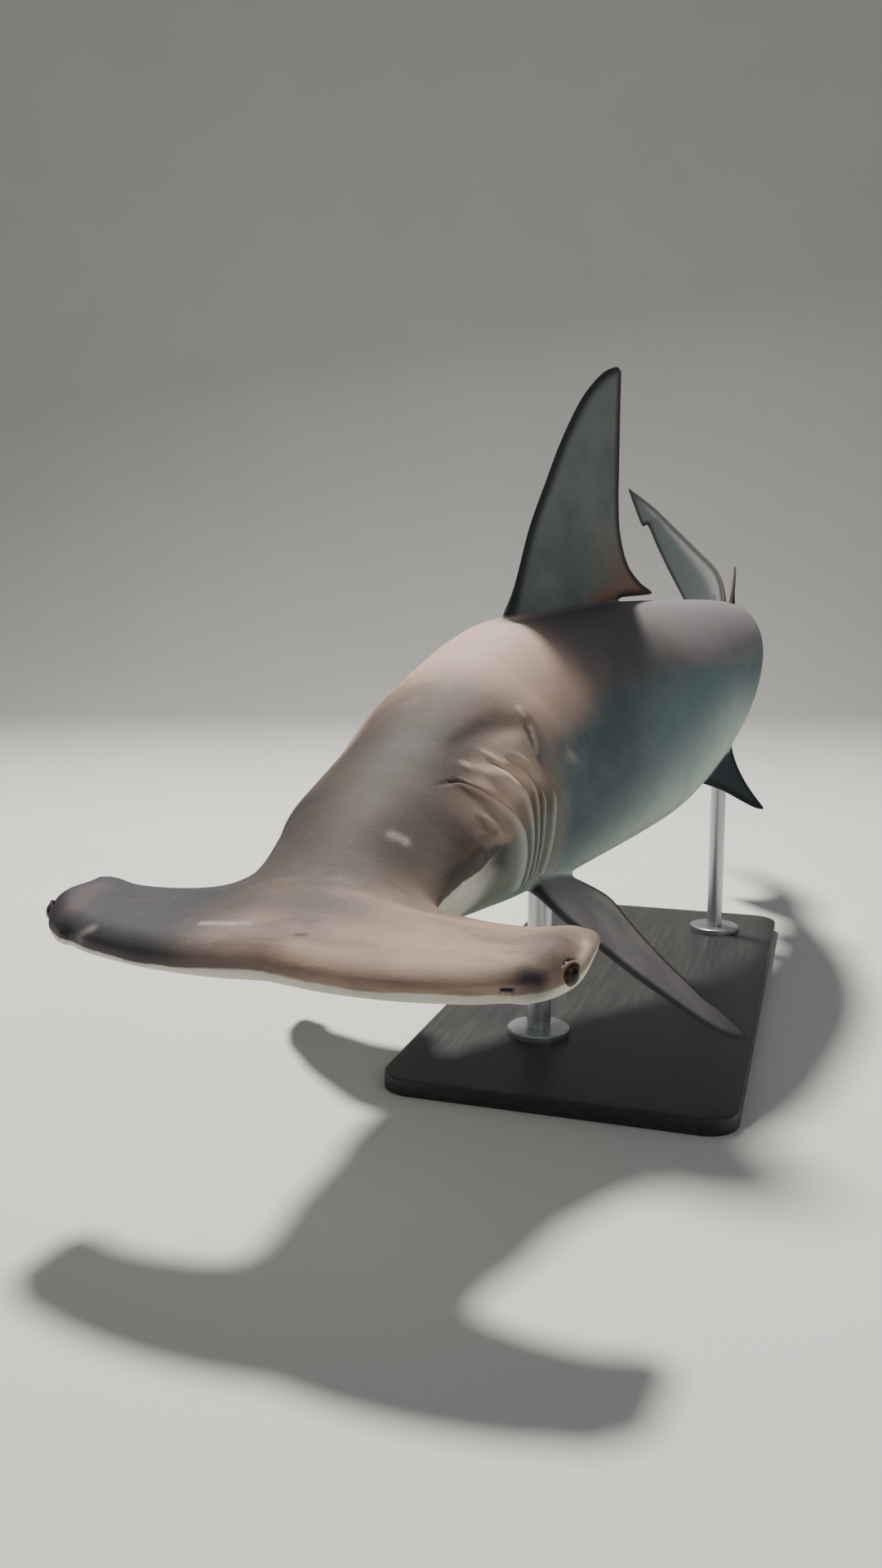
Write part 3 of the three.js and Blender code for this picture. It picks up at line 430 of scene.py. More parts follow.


# Folds and creases of the left side, on the inner side of the neck's bend: points (station, degrees), height
# and width in metres, and the strength of the painted shade in the creases and painted light on the crests,
# which is full where the raise reaches the height set next
FOLD_SHADE_HEIGHT = 0.003
FOLD_POINTS = 12
FOLD_FADE = {"outside": 4, "inside": 9}
BODY_RADIUS = 0.19
FOLDS = [
    ([(0.2273, 37), (0.2234, 48), (0.2249, 57), (0.2328, 68), (0.2446, 78)], 0.005, 0.016, 0.3),
    ([(0.216, 42), (0.211, 55), (0.209, 63), (0.2085, 71)], -0.004, 0.011, 0.35),
    ([(0.17, 24), (0.189, 33), (0.2, 40), (0.208, 49)], -0.004, 0.024, 0.3),
    ([(0.1755, 37), (0.1786, 49), (0.1841, 60), (0.1904, 71)], 0.0028, 0.0075, 0.8),
    ([(0.1645, 36), (0.17, 45), (0.1747, 52), (0.1802, 61), (0.1888, 74)], -0.002, 0.006, 0.5),
    ([(0.1551, 31), (0.1622, 42), (0.1716, 55), (0.1794, 68), (0.1826, 73)], 0.003, 0.008, 0.8),
    ([(0.1441, 35), (0.152, 47), (0.1622, 61), (0.1708, 74), (0.1771, 85)], 0.0025, 0.007, 0.7),
    ([(0.1331, 32), (0.1418, 39), (0.1473, 48), (0.1528, 58), (0.1614, 69), (0.17, 79)], -0.0028, 0.005, 0.9),
    ([(0.1363, 58), (0.1415, 68), (0.1473, 75), (0.1496, 82)], 0.003, 0.01, 0.5),
    ([(0.131, 70), (0.14, 78), (0.15, 82), (0.158, 86)], 0.003, 0.012, 0.3),
    ([(0.131, 88), (0.14, 92), (0.152, 97), (0.16, 101)], -0.008, 0.017, 0),
    ([(0.19, 50), (0.197, 60), (0.2, 68)], 0.002, 0.007, 0.6),
]


def unrolled(s, angle):
    """Places on the unrolled skin, in metres."""
    return np.stack([s * LENGTH, np.radians(angle) * BODY_RADIUS], -1)


def fold_relief(s, angle, side):
    """Raise of the skin by the folds of the left side, and their painted shade and light, from dark -1 in a
    crease to light 1 on a crest.
    """
    total, tint = np.zeros_like(s), np.zeros_like(s)
    for points, height, width, strength in FOLDS:
        line = even_points(unrolled(*np.array(points, float).T), np.linspace(0, 1, FOLD_POINTS))
        apart = distance_to_line(unrolled(s, angle), line)
        first, last = points[0][1], points[-1][1]
        outside, inside = FOLD_FADE["outside"], FOLD_FADE["inside"]
        fade = smooth(first - outside, first + inside, angle)
        fade = fade * (1 - smooth(last - inside, last + outside, angle))
        raised = fade * height * np.exp(-((apart / width) ** 2))
        total += raised
        tint += strength * raised / FOLD_SHADE_HEIGHT
    return np.where(side > 0, total, 0), np.where(side > 0, np.clip(tint, -1, 1), 0)


# Marks of the skin: pale marks, dark blotches and rusty stains, as lines of places with a radius in metres
# and a strength.
# The dark blotches are partly painted shade in the hollows by the eyes and nostrils and in a crease by the
# gills.
# A head place is (station, across, 0); a trunk place is (station, degrees, 1), on the left side.
MARKS = {
    "pale": [
        ([(0.0915, 0.022, 0), (0.093, 0.0275, 0)], 0.008, 0.5),
        ([(0.021, -0.036, 0), (0.0225, -0.015, 0)], 0.005, 0.5),
        ([(0.2195, 39, 1), (0.2188, 43, 1)], 0.005, 0.9),
        ([(0.2163, 49, 1), (0.2132, 55, 1), (0.2095, 60, 1)], 0.0045, 0.9),
        ([(0.0082, -0.091, 0), (0.0105, -0.084, 0)], 0.006, 0.35),
        ([(0.011, 0.106, 0), (0.0105, 0.1, 0), (0.0085, 0.0935, 0)], 0.004, 0.5),
        ([(0.052, 0.121, 0), (0.036, 0.1225, 0)], 0.007, 0.8),
    ],
    # Dark blotches, partly painted shade in the hollows by the eyes and nostrils and in a crease by the gills
    "dark": [
        ([(0.0168, 0.1108, 0), (0.0158, 0.1065, 0)], 0.021, 0.95),
        ([(0.024, 0.1105, 0), (0.046, 0.1115, 0)], 0.028, 0.42),
        ([(0.03, -0.1165, 0), (0.018, -0.112, 0)], 0.018, 0.8),
        ([(0.0185, 0.0095, 0), (0.0195, 0.0135, 0)], 0.0035, 0.8),
        ([(0.0112, -0.1, 0), (0.0112, -0.097, 0)], 0.007, 0.9),
        ([(0.213, 50, 1), (0.209, 62, 1)], 0.006, 0.4),
    ],
    "rust": [
        ([(0.012, -0.02, 0), (0.007, 0.006, 0)], 0.02, 0.25),
        ([(0.022, -0.102, 0), (0.043, -0.104, 0)], 0.014, 0.3),
        ([(0.016, 0.02, 0), (0.012, 0.05, 0)], 0.02, 0.3),
    ],
}


def mark_strength(points, marks):
    """How strongly each point of the skin carries one kind of mark."""
    total = np.zeros(len(points))
    for places, radius, strength in marks:
        line = []
        for s, place, on_trunk in places:
            s = np.array([s])
            if on_trunk:
                line.append(bent(*trunk_place(s, np.array([float(place)]), 1).T)[0])
            else:
                y = np.array([place])
                line.append(bent(s, y, head_heights(s, y)[0])[0])
        apart = distance_to_line(points, np.array(line))
        total = np.maximum(total, strength * np.exp(-((apart / radius) ** 2)))
    return total


# Meshes


def sheet_faces(rows, columns):
    """Vertex numbers of two sheets that share their first row and side edges, and the quads between them."""
    upper = np.arange(rows * columns).reshape(rows, columns)
    lower = upper + rows * columns
    lower[0] = upper[0]
    lower[:, [0, -1]] = upper[:, [0, -1]]
    quads = []
    for sheet, turned in ((upper, False), (lower, True)):
        a, b, c, d = sheet[:-1, :-1], sheet[1:, :-1], sheet[1:, 1:], sheet[:-1, 1:]
        order = (a, d, c, b) if turned else (a, b, c, d)
        quads.append(np.stack([v.ravel() for v in order], -1))
    end = np.stack([upper[-1, :-1], lower[-1, :-1], lower[-1, 1:], upper[-1, 1:]], -1)
    quads.append(end)
    return np.vstack(quads)


def new_object(name, points, faces):
    mesh = bpy.data.meshes.new(name)
    mesh.from_pydata(points, [], faces)
    obj = bpy.data.objects.new(name, mesh)
    bpy.context.scene.collection.objects.link(obj)
    return obj


def add_note(mesh, key, values):
    """A number for each point of a mesh, which its material reads."""
    mesh.attributes.new(key, "FLOAT", "POINT").data.foreach_set("value", values.astype(np.float32))


def ring_faces(rings, count):
    """Quads between rings of points, with a cap on the first and the last."""
    faces = []
    for low in range(0, (rings - 1) * count, count):
        for j in range(count):
            k = (j + 1) % count
            faces.append([low + j, low + k, low + count + k, low + count + j])
    return faces + [list(range(count))[::-1], [(rings - 1) * count + j for j in range(count)]]


def sheets_object(name, points, quads):
    """A mesh object from points and quads, in which unused points and repeated corners are dropped."""
    used, numbers = np.unique(quads, return_inverse=True)
    numbers = numbers.reshape(-1, 4)
    faces = []
    for quad in numbers.tolist():
        ring = [v for k, v in enumerate(quad) if v != quad[k - 1]]
        if len(ring) >= 3:
            faces.append(ring)
    return outward(new_object(name, points[used].tolist(), faces))


def outward(obj):
    """Turns the faces out, by the mesh's signed volume."""
    mesh = obj.data
    mesh.calc_loop_triangles()
    corners = np.empty(len(mesh.loop_triangles) * 3, np.int32)
    mesh.loop_triangles.foreach_get("vertices", corners)
    points = read_points(mesh)[corners.reshape(-1, 3)]
    if np.einsum("ij,ij->i", points[:, 0], np.cross(points[:, 1], points[:, 2])).sum() < 0:
        mesh.flip_normals()
    return obj


def read_points(mesh):
    points = np.empty(len(mesh.vertices) * 3, np.float32)
    mesh.vertices.foreach_get("co", points)
    return points.reshape(-1, 3).astype(float)


PLACES = ["station", "round", "across", "height"]
NOTES = PLACES + ["slit", "fin", "span", "chord", "edge", "fold", "rim", "pale", "dark", "rust"]


def build_body():
    """Head and trunk as one closed mesh, with the folds and gill flaps raised in it."""
    sheets, notes = [], []
    for head, (trunk, angles, raised, slit_shade), angle in zip(head_sheets(), trunk_sheets(), SHEET_ANGLES):
        sheets.append(np.concatenate([head, trunk]))
        zero = np.zeros(head.shape[:2])
        head_angles = np.repeat(angle, len(head), 0)
        pairs = ((head_angles, angles), (zero, raised), (zero, slit_shade))
        notes.append([np.vstack(pair).ravel() for pair in pairs])
    quads = sheet_faces(*sheets[0].shape[:2])
    used = np.unique(quads)
    places = np.concatenate([sheet.reshape(-1, 3) for sheet in sheets])
    body = sheets_object("body", bent(*places.T), quads)
    s, y, z = places[used].T
    angle, raised, slit_shade = (np.concatenate(pair)[used] for pair in zip(*notes))
    normals = np.empty(len(used) * 3, np.float32)
    body.data.vertex_normals.foreach_get("vector", normals)
    folds, painted_fold_shading = fold_relief(s, angle, np.sign(y))
    raise_by = raised * LENGTH + folds
    points = read_points(body.data) + normals.reshape(-1, 3) * raise_by[:, None]
    body.data.vertices.foreach_set("co", points.ravel().astype(np.float32))
    values = {"station": s, "round": angle / 180, "across": y * LENGTH, "height": z * LENGTH, "slit": slit_shade}
    values |= {"fold": painted_fold_shading, "rim": np.clip(raised / GILL_FLAP["rise"], 0, 1)}
    values |= {kind: mark_strength(points, marks) for kind, marks in MARKS.items()}
    return body, points, values


# Fins


def fin_profile(v):
    """Half thickness along the chord, thickest a third of the way back."""
    return 5 * (0.2969 * np.sqrt(v) - 0.126 * v - 0.3516 * v**2 + 0.2843 * v**3 - 0.1036 * v**4)


# Degrees of the rows that close a fin's tip in an arc, and the least half thickness in metres
TIP_TURNS = (30, 55, 72, 82)
THINNEST = 0.0006
THIN_HALF = 0.001


def build_fin(name, fin, rows, columns, place, number):
    """A fin as one closed mesh with a sunk, flared root and a rounded tip."""
    lead, trail = curve_points(fin["lead"], rows), curve_points(fin["trail"], rows)
    share = np.linspace(0, 1, rows + 1)
    extra = 0 if "sink" in fin else ROOT_FLARE["extra"]
    flare = 1 + extra * np.exp(-((lead[:, 1] / ROOT_FLARE["reach"]) ** 2))
    half = blend(fin["half"][0], fin["half"][1], share) * flare
    turn = np.radians(TIP_TURNS)
    cut = len(lead) - 2
    middle = (lead[cut] + trail[cut]) / 2
    to_tip = (lead[-1] + trail[-1]) / 2 - middle
    sunk = [0, ROOT_SINK * fin.get("sink", 1)]
    lead, trail = (
        np.vstack([side[:1] - sunk, side[: cut + 1],
                   [middle + (side[cut] - middle) * math.cos(a) + to_tip * math.sin(a) for a in turn]])
        for side in (lead, trail)
    )
    half = np.concatenate([half[:1], half[: cut + 1], half[cut] * np.cos(turn)])
    share = np.concatenate([[0], share[: cut + 1], [1] * len(turn)])
    v = (1 - np.cos(np.pi * np.arange(columns + 1) / columns)) / 2
    chord = np.linalg.norm(trail - lead, axis=1)
    thick = np.minimum(half[:, None] * fin_profile(v)[None], chord[:, None] / 3)
    thick = np.maximum(thick, THINNEST / LENGTH * np.sqrt(np.clip(half / THIN_HALF, 0, 1))[:, None])
    thick[:, [0, -1]] = 0
    thick[-1] = 0
    flat = lead[:, None] * (1 - v)[None, :, None] + trail[:, None] * v[None, :, None]
    # The tip row comes first, because that is the row the two sheets share
    sheets = [np.concatenate([flat, (sign * thick)[..., None]], -1)[::-1] for sign in (1, -1)]
    places = np.concatenate([sheet.reshape(-1, 3) for sheet in sheets])
    quads = sheet_faces(*sheets[0].shape[:2])
    obj = sheets_object(name, place(*places.T), quads)
    used = np.unique(quads)
    outline = np.vstack([lead[1:], trail[:0:-1]])
    values = {
        "fin": np.full(len(used), float(number)),
        "span": np.tile(np.repeat(share[::-1], columns + 1), 2)[used],
        "chord": np.tile(np.tile(v, len(lead)), 2)[used],
        "edge": distance_to_line(places[used, :2], outline) * LENGTH,
    }
    return obj, read_points(obj.data), values


def on_back(s, height, y):
    return bent(s, y, read_table(TRUNK, 1, s) + height)


def under_belly(s, height, y):
    return bent(s, y, read_table(TRUNK, 2, s) - height)


def on_axis(s, height, y):
    return bent(s, y, height)


def paired_place(setting, side):
    """Places a paired fin's own plane on the body: along its root, out to its tip and across."""
    s, y, z = setting["root"]
    back, left, up = (axis.reshape(3) for axis in spine_axes(np.array(s)))
    world = np.array([back, left * side, up])
    along = np.array(setting["along"]) @ world
    along /= np.linalg.norm(along)
    out = np.array(setting["out"]) @ world
    out -= along * (out @ along)
    out /= np.linalg.norm(out)
    across = np.cross(along, out)
    root = bent(s, y * side, z).reshape(3)

    def place(u, v, w):
        return root + LENGTH * (u[:, None] * along + v[:, None] * out + w[:, None] * across)

    return place


# Small pieces joined to the skin or cut from it


STRIP_SIDES = 12
STRIP_END = 0.3


def strip(name, points, radius, away):
    """A round strip along a line of points, thinner towards its ends."""
    tangent = np.gradient(points, axis=0)
    tangent /= np.linalg.norm(tangent, axis=1)[:, None]
    across = np.cross(tangent, away)
    across /= np.linalg.norm(across, axis=1)[:, None]
    out = np.cross(across, tangent)
    count = len(points)
    taper = np.maximum(np.sqrt(np.sin(np.pi * np.arange(count) / (count - 1))), STRIP_END) * radius
    turns = 2 * np.pi * np.arange(STRIP_SIDES) / STRIP_SIDES
    cosine, sine = np.cos(turns)[None, :, None], np.sin(turns)[None, :, None]
    ring = across[:, None] * cosine + out[:, None] * sine
    tube = points[:, None] + ring * taper[:, None, None]
    return outward(new_object(name, tube.reshape(-1, 3).tolist(), ring_faces(count, STRIP_SIDES)))


def mouth_line(sink):
    turn = np.pi * (np.linspace(0, 1, 60) - 0.5)
    s = MOUTH["front"] + MOUTH["depth"] * (1 - np.cos(turn))
    y = MOUTH["half"] * np.sin(turn)
    return bent(s, y, head_heights(s, y)[1] + sink / LENGTH)


def nostril_line(start, end, side):
    y = np.linspace(start, end, 16)
    s = np.interp(y, front_curve[:, 1], front_curve[:, 0])
    return bent(s, y * side, NOSTRIL["z"] + 0 * y)


def notch_line(side):
    """The upright notch below a nostril."""
    z = np.linspace(NOTCH["from"], NOTCH["to"], 10)
    s = np.interp(NOTCH["y"], front_curve[:, 1], front_curve[:, 0]) + NOTCH["inward"]
    return bent(s + 0 * z, NOTCH["y"] * side + 0 * z, z)


def eye_axes(side):
    """The way an eye looks, out to its side and a little forward, and the two ways across it."""
    back, left, up = (axis.reshape(3) for axis in spine_axes(np.array(EYE["s"])))
    turn = math.radians(EYE["forward"])
    axis = left * side * math.cos(turn) - back * math.sin(turn)
    return axis, np.cross(up, axis), up


def eye_centre(side):
    return bent(EYE["s"], EYE["y"] * side, EYE["z"]).reshape(3)


BALL_SEGMENTS = 64
BALL_RINGS = 48


def ball(name, side, radius):
    """A closed ball at an eye's place, whose poles lie along its axis."""
    axis, across, up = eye_axes(side)
    centre = eye_centre(side)
    points = [centre + radius * axis]
    for a in (np.pi * np.arange(BALL_RINGS + 1) / BALL_RINGS)[1:-1]:
        for b in 2 * np.pi * np.arange(BALL_SEGMENTS) / BALL_SEGMENTS:
            away = math.cos(a) * axis + math.sin(a) * (math.cos(b) * across + math.sin(b) * up)
            points.append(centre + radius * away)
    points.append(centre - radius * axis)
    last = 1 + (BALL_RINGS - 2) * BALL_SEGMENTS
    faces = []
    for k in range(BALL_SEGMENTS):
        n = (k + 1) % BALL_SEGMENTS
        faces.append([0, 1 + k, 1 + n])
        for low in range(1, last, BALL_SEGMENTS):
            high = low + BALL_SEGMENTS
            faces.append([low + k, high + k, high + n, low + n])
        faces.append([len(points) - 1, last + n, last + k])
    obj = new_object(name, [tuple(p) for p in points], faces)
    for key, way in (("eye_across", across), ("eye_up", up), ("eye_out", axis)):
        add_note(obj.data, key, (np.array(points) - centre) @ way / radius)
    return outward(obj)


LID_STEPS = 64
LID_SIDES = 16


def lid(name, side):
    """The rounded rim of skin around an eye."""
    axis, across, up = eye_axes(side)
    centre = eye_centre(side) + axis * LID["out"] * LENGTH
    points, faces = [], []
    for i in range(LID_STEPS):
        a = 2 * math.pi * i / LID_STEPS
        radial = math.cos(a) * across + math.sin(a) * up
        low, high = i * LID_SIDES, (i + 1) % LID_STEPS * LID_SIDES
        for j in range(LID_SIDES):
            b = 2 * math.pi * j / LID_SIDES
            reach = LID["radius"] + LID["thickness"] * math.cos(b)
            points.append(tuple(centre + radial * reach + axis * LID["thickness"] * math.sin(b)))
            k = (j + 1) % LID_SIDES
            faces.append([low + j, high + j, high + k, low + k])
    return outward(new_object(name, points, faces))


def boolean(obj, others, operation):
    """Joins or cuts one mesh by others, and removes them."""
    group = bpy.data.collections.new("cutters")
    bpy.context.scene.collection.children.link(group)
    for other in others:
        group.objects.link(other)
        bpy.context.scene.collection.objects.unlink(other)
    modifier = obj.modifiers.new("boolean", "BOOLEAN")
    modifier.operand_type = "COLLECTION"
    modifier.collection = group
    modifier.operation = operation
    modifier.solver = "MANIFOLD"
    made = bpy.data.meshes.new_from_object(obj.evaluated_get(bpy.context.evaluated_depsgraph_get()))
    obj.modifiers.clear()
    obj.data = made
    for other in others:
        bpy.data.objects.remove(other)
    bpy.data.collections.remove(group)
    return obj


def edge_numbers(mesh):
    edges = np.empty(len(mesh.edges) * 2, np.int32)
    mesh.edges.foreach_get("vertices", edges)
    return edges.reshape(-1, 2)


SPREAD_ROUNDS = 60
SOFTEN_STEP = 0.6


def spread_distance(points, edges, seeds, reach):
    """Distance along the skin from the seed vertices, up to a reach."""
    length = np.linalg.norm(points[edges[:, 0]] - points[edges[:, 1]], axis=1)
    away = np.full(len(points), np.inf)
    away[seeds] = 0
    for _ in range(SPREAD_ROUNDS):
        before = away.copy()
        np.minimum.at(away, edges[:, 0], before[edges[:, 1]] + length)
        np.minimum.at(away, edges[:, 1], before[edges[:, 0]] + length)
        away[away > reach] = np.inf
        if np.array_equal(away, before):
            break
    return away


def soften(points, edges, weight, rounds):
    """Smooths vertices towards the mean of their neighbours, by weight."""
    active = np.nonzero(weight > 0)[0]
    mask = np.zeros(len(points), bool)
    mask[active] = True
    near = edges[mask[edges[:, 0]] | mask[edges[:, 1]]]
    for _ in range(rounds):
        total = np.zeros_like(points)
        count = np.zeros(len(points))
        for a, b in ((0, 1), (1, 0)):
            np.add.at(total, near[:, a], points[near[:, b]])
            np.add.at(count, near[:, a], 1)
        mean = total[active] / count[active, None]
        points[active] += (mean - points[active]) * weight[active, None] * SOFTEN_STEP
    return points


def point_tree(points):
    tree = KDTree(len(points))
    for k, point in enumerate(points.tolist()):
        tree.insert(point, k)
    tree.balance()
    return tree


SIDES = {"left": 1, "right": -1}
# Each fin's name, outline, rows, columns, place on the body, and its number for the material
FINS = [
    ("first_dorsal", FIRST_DORSAL, 150, 90, on_back, 1),
    ("second_dorsal", SECOND_DORSAL, 60, 50, on_back, 2),
    ("anal", ANAL_FIN, 60, 50, under_belly, 3),
    ("upper_lobe", UPPER_LOBE, 200, 80, on_axis, 4),
    ("lower_lobe", LOWER_LOBE, 100, 60, on_axis, 5),
    ("pectoral_left", PECTORAL, 140, 80, paired_place(PECTORAL_LEFT, 1), 6),
    ("pectoral_right", PECTORAL, 140, 80, paired_place(PECTORAL_RIGHT, -1), 6),
    ("pelvic_left", PELVIC, 70, 50, paired_place(PELVIC_PAIR, 1), 7),
    ("pelvic_right", PELVIC, 70, 50, paired_place(PELVIC_PAIR, -1), 7),
]
# The skin is softened near the joins: how far, in how many rounds, and less along the head's own cuts.
# A point is new, and so lies on a join, where it is further than this from every source point.
JOIN_REACH = 0.022
JOIN_ROUNDS = 40
JOIN_APART = 2e-5
HEAD_JOIN = {"reach": 0.003, "weight": 0.3}
SLOT_SHADE = (0.0026, 0.0042)


def joined_pieces(body, fins):
    """Body, fins, lids and lips as one closed mesh, with the mouth, nostrils and eye sockets cut in."""
    back, _, up = (axis.reshape(3) for axis in spine_axes(np.array(0.0)))
    lids = [lid(f"lid_{name}", side) for name, side in SIDES.items()]
    lips = strip("lips", mouth_line(MOUTH["sink"]), MOUTH["lip"], up)
    skin = boolean(body, fins + lids + [lips], "UNION")
    cutters = [strip("mouth", mouth_line(0), MOUTH["line"], up)]
    for name, side in SIDES.items():
        groove = nostril_line(NOSTRIL["from"], NOSTRIL["to"], side)
        slot = nostril_line(NOSTRIL["slot"], NOSTRIL["to"], side)
        cutters.append(strip(f"groove_{name}", groove, NOSTRIL["groove"], back))
        cutters.append(strip(f"slot_{name}", slot, NOSTRIL["width"], back))
        cutters.append(strip(f"notch_{name}", notch_line(side), NOTCH["width"], back))
        cutters.append(ball(f"socket_{name}", side, EYE["radius"] + GAP))
    return boolean(skin, cutters, "DIFFERENCE")


def build_skin():
    """The whole shark's skin as one closed mesh, softened where the fins grow out of it."""
    pieces = [build_body()] + [build_fin(*fin) for fin in FINS]
    sources = np.vstack([points for _, points, _ in pieces])
    notes = {
        key: np.concatenate([values.get(key, np.zeros(len(points))) for _, points, values in pieces])
        for key in NOTES
    }
    # A fin takes the place of the nearest body point, so its root blends into the body's own colour
    body_points = pieces[0][1]
    tree = point_tree(body_points)
    on_body = np.array([tree.find(point)[1] for point in sources[len(body_points):].tolist()])
    for key in PLACES:
        notes[key][len(body_points):] = notes[key][on_body]
    skin = joined_pieces(pieces[0][0], [piece[0] for piece in pieces[1:]])
    mesh = skin.data
    points = read_points(mesh)
    tree = point_tree(sources)
    nearest = np.array([tree.find(point)[1:] for point in points.tolist()])
    number, apart = nearest[:, 0].astype(int), nearest[:, 1]
    edges = edge_numbers(mesh)
    away = spread_distance(points, edges, np.nonzero(apart > JOIN_APART)[0], JOIN_REACH)
    reached = np.isfinite(away)
    weight = np.where(reached, 1 - smooth(0, JOIN_REACH, np.where(reached, away, 0)), 0)
    in_head = (notes["station"][number] < NECK) & (notes["fin"][number] == 0)
    head_weight = weight * (away < HEAD_JOIN["reach"]) * HEAD_JOIN["weight"]
    points = soften(points, edges, np.where(in_head, head_weight, weight), JOIN_ROUNDS)
    mesh.vertices.foreach_set("co", points.ravel().astype(np.float32))
    notes = {key: values[number] for key, values in notes.items()}
    for side in SIDES.values():
        slot = nostril_line(NOSTRIL["slot"], NOSTRIL["to"], side)
        shade = 1 - smooth(*SLOT_SHADE, distance_to_line(points, slot))
        notes["slit"] = np.maximum(notes["slit"], shade)
    notes["join"] = np.where(reached, 1 - away / JOIN_REACH, 0)
    for key, values in notes.items():
        add_note(mesh, key, values)
    mesh.shade_smooth()
    skin.name = mesh.name = "shark_skin"
    return skin


# Materials


def screen_colour(value):
    """A colour given as screen values from 0 to 255, for a socket; a socket stays as it is."""
    if not isinstance(value, tuple):
        return value
    channel = [v / 255 for v in value]
    return tuple(v / 12.92 if v <= 0.04045 else ((v + 0.055) / 1.055) ** 2.4 for v in channel) + (1.0,)


class Nodes:
    """Adds shader nodes and links them by name."""

    def __init__(self, name):
        self.material = bpy.data.materials.new(name)
        self.material.use_nodes = True
        self.tree = self.material.node_tree
        self.shader = self.tree.nodes["Principled BSDF"]
        self.position = self.add("ShaderNodeTexCoord").outputs["Object"]

    def add(self, kind, settings=None, **inputs):
        node = self.tree.nodes.new(kind)
        for key, value in (settings or {}).items():
            setattr(node, key, value)
        self.put(node, {key.replace("_", " "): value for key, value in inputs.items()})
        return node

    def put(self, node, values):
        for key, value in values.items():
            if isinstance(value, bpy.types.NodeSocket):
                self.tree.links.new(value, node.inputs[key])
            else:
                node.inputs[key].default_value = value

    def set(self, **inputs):
        self.put(self.shader, {key.replace("_", " "): value for key, value in inputs.items()})

    def attributes(self, *names):
        return [self.add("ShaderNodeAttribute", {"attribute_name": name}).outputs["Fac"] for name in names]

    def maths(self, operation, a, b=0.0):
        node = self.add("ShaderNodeMath", {"operation": operation})
        self.put(node, {0: a, 1: b})
        return node.outputs[0]

    def plus(self, a, b):
        return self.maths("ADD", a, b)

    def minus(self, a, b):
        return self.maths("SUBTRACT", a, b)

    def times(self, first, *others):
        for other in others:
            first = self.maths("MULTIPLY", first, other)
        return first

    def step(self, value, start, end):
        """0 below start and 1 above end, smooth between; start may be the greater."""
        node = self.add("ShaderNodeMapRange", {"interpolation_type": "SMOOTHSTEP"}, Value=value)
        low, high = (1.0, 0.0) if start > end else (0.0, 1.0)
        start, end = sorted((start, end))
        self.put(node, {"From Min": start, "From Max": end, "To Min": low, "To Max": high})
        return node.outputs["Result"]

    def band(self, value, start, full, until, end):
        """1 between full and until, and 0 outside start and end."""
        return self.times(self.step(value, start, full), self.step(value, end, until))

    def mix(self, factor, a, b):
        node = self.add("ShaderNodeMix", {"data_type": "RGBA"})
        self.put(node, {0: factor, 6: screen_colour(a), 7: screen_colour(b)})
        return node.outputs[2]

    def layer(self, base, tint, *factors):
        """A tint over a base, as strong as the product of the factors."""
        return self.mix(self.times(*factors), base, tint)

    def blend(self, factor, a, b):
        """A number between a and b."""
        node = self.add("ShaderNodeMix", {"data_type": "FLOAT"})
        self.put(node, {0: factor, 2: a, 3: b})
        return node.outputs[0]

    def noise(self, scale, detail=3.0, roughness=0.5, stretch=None, distortion=0.0):
        vector = self.position
        if stretch:
            vector = self.add("ShaderNodeMapping", None, Vector=vector, Scale=stretch).outputs["Vector"]
        values = {"Scale": scale, "Detail": detail, "Roughness": roughness, "Distortion": distortion}
        return self.add("ShaderNodeTexNoise", None, Vector=vector, **values).outputs["Fac"]

    def bump(self, height, distance, strength, normal=None):
        node = self.add("ShaderNodeBump", None, Height=height, Distance=distance, Strength=strength)
        if normal:
            self.put(node, {"Normal": normal})
        return node.outputs["Normal"]


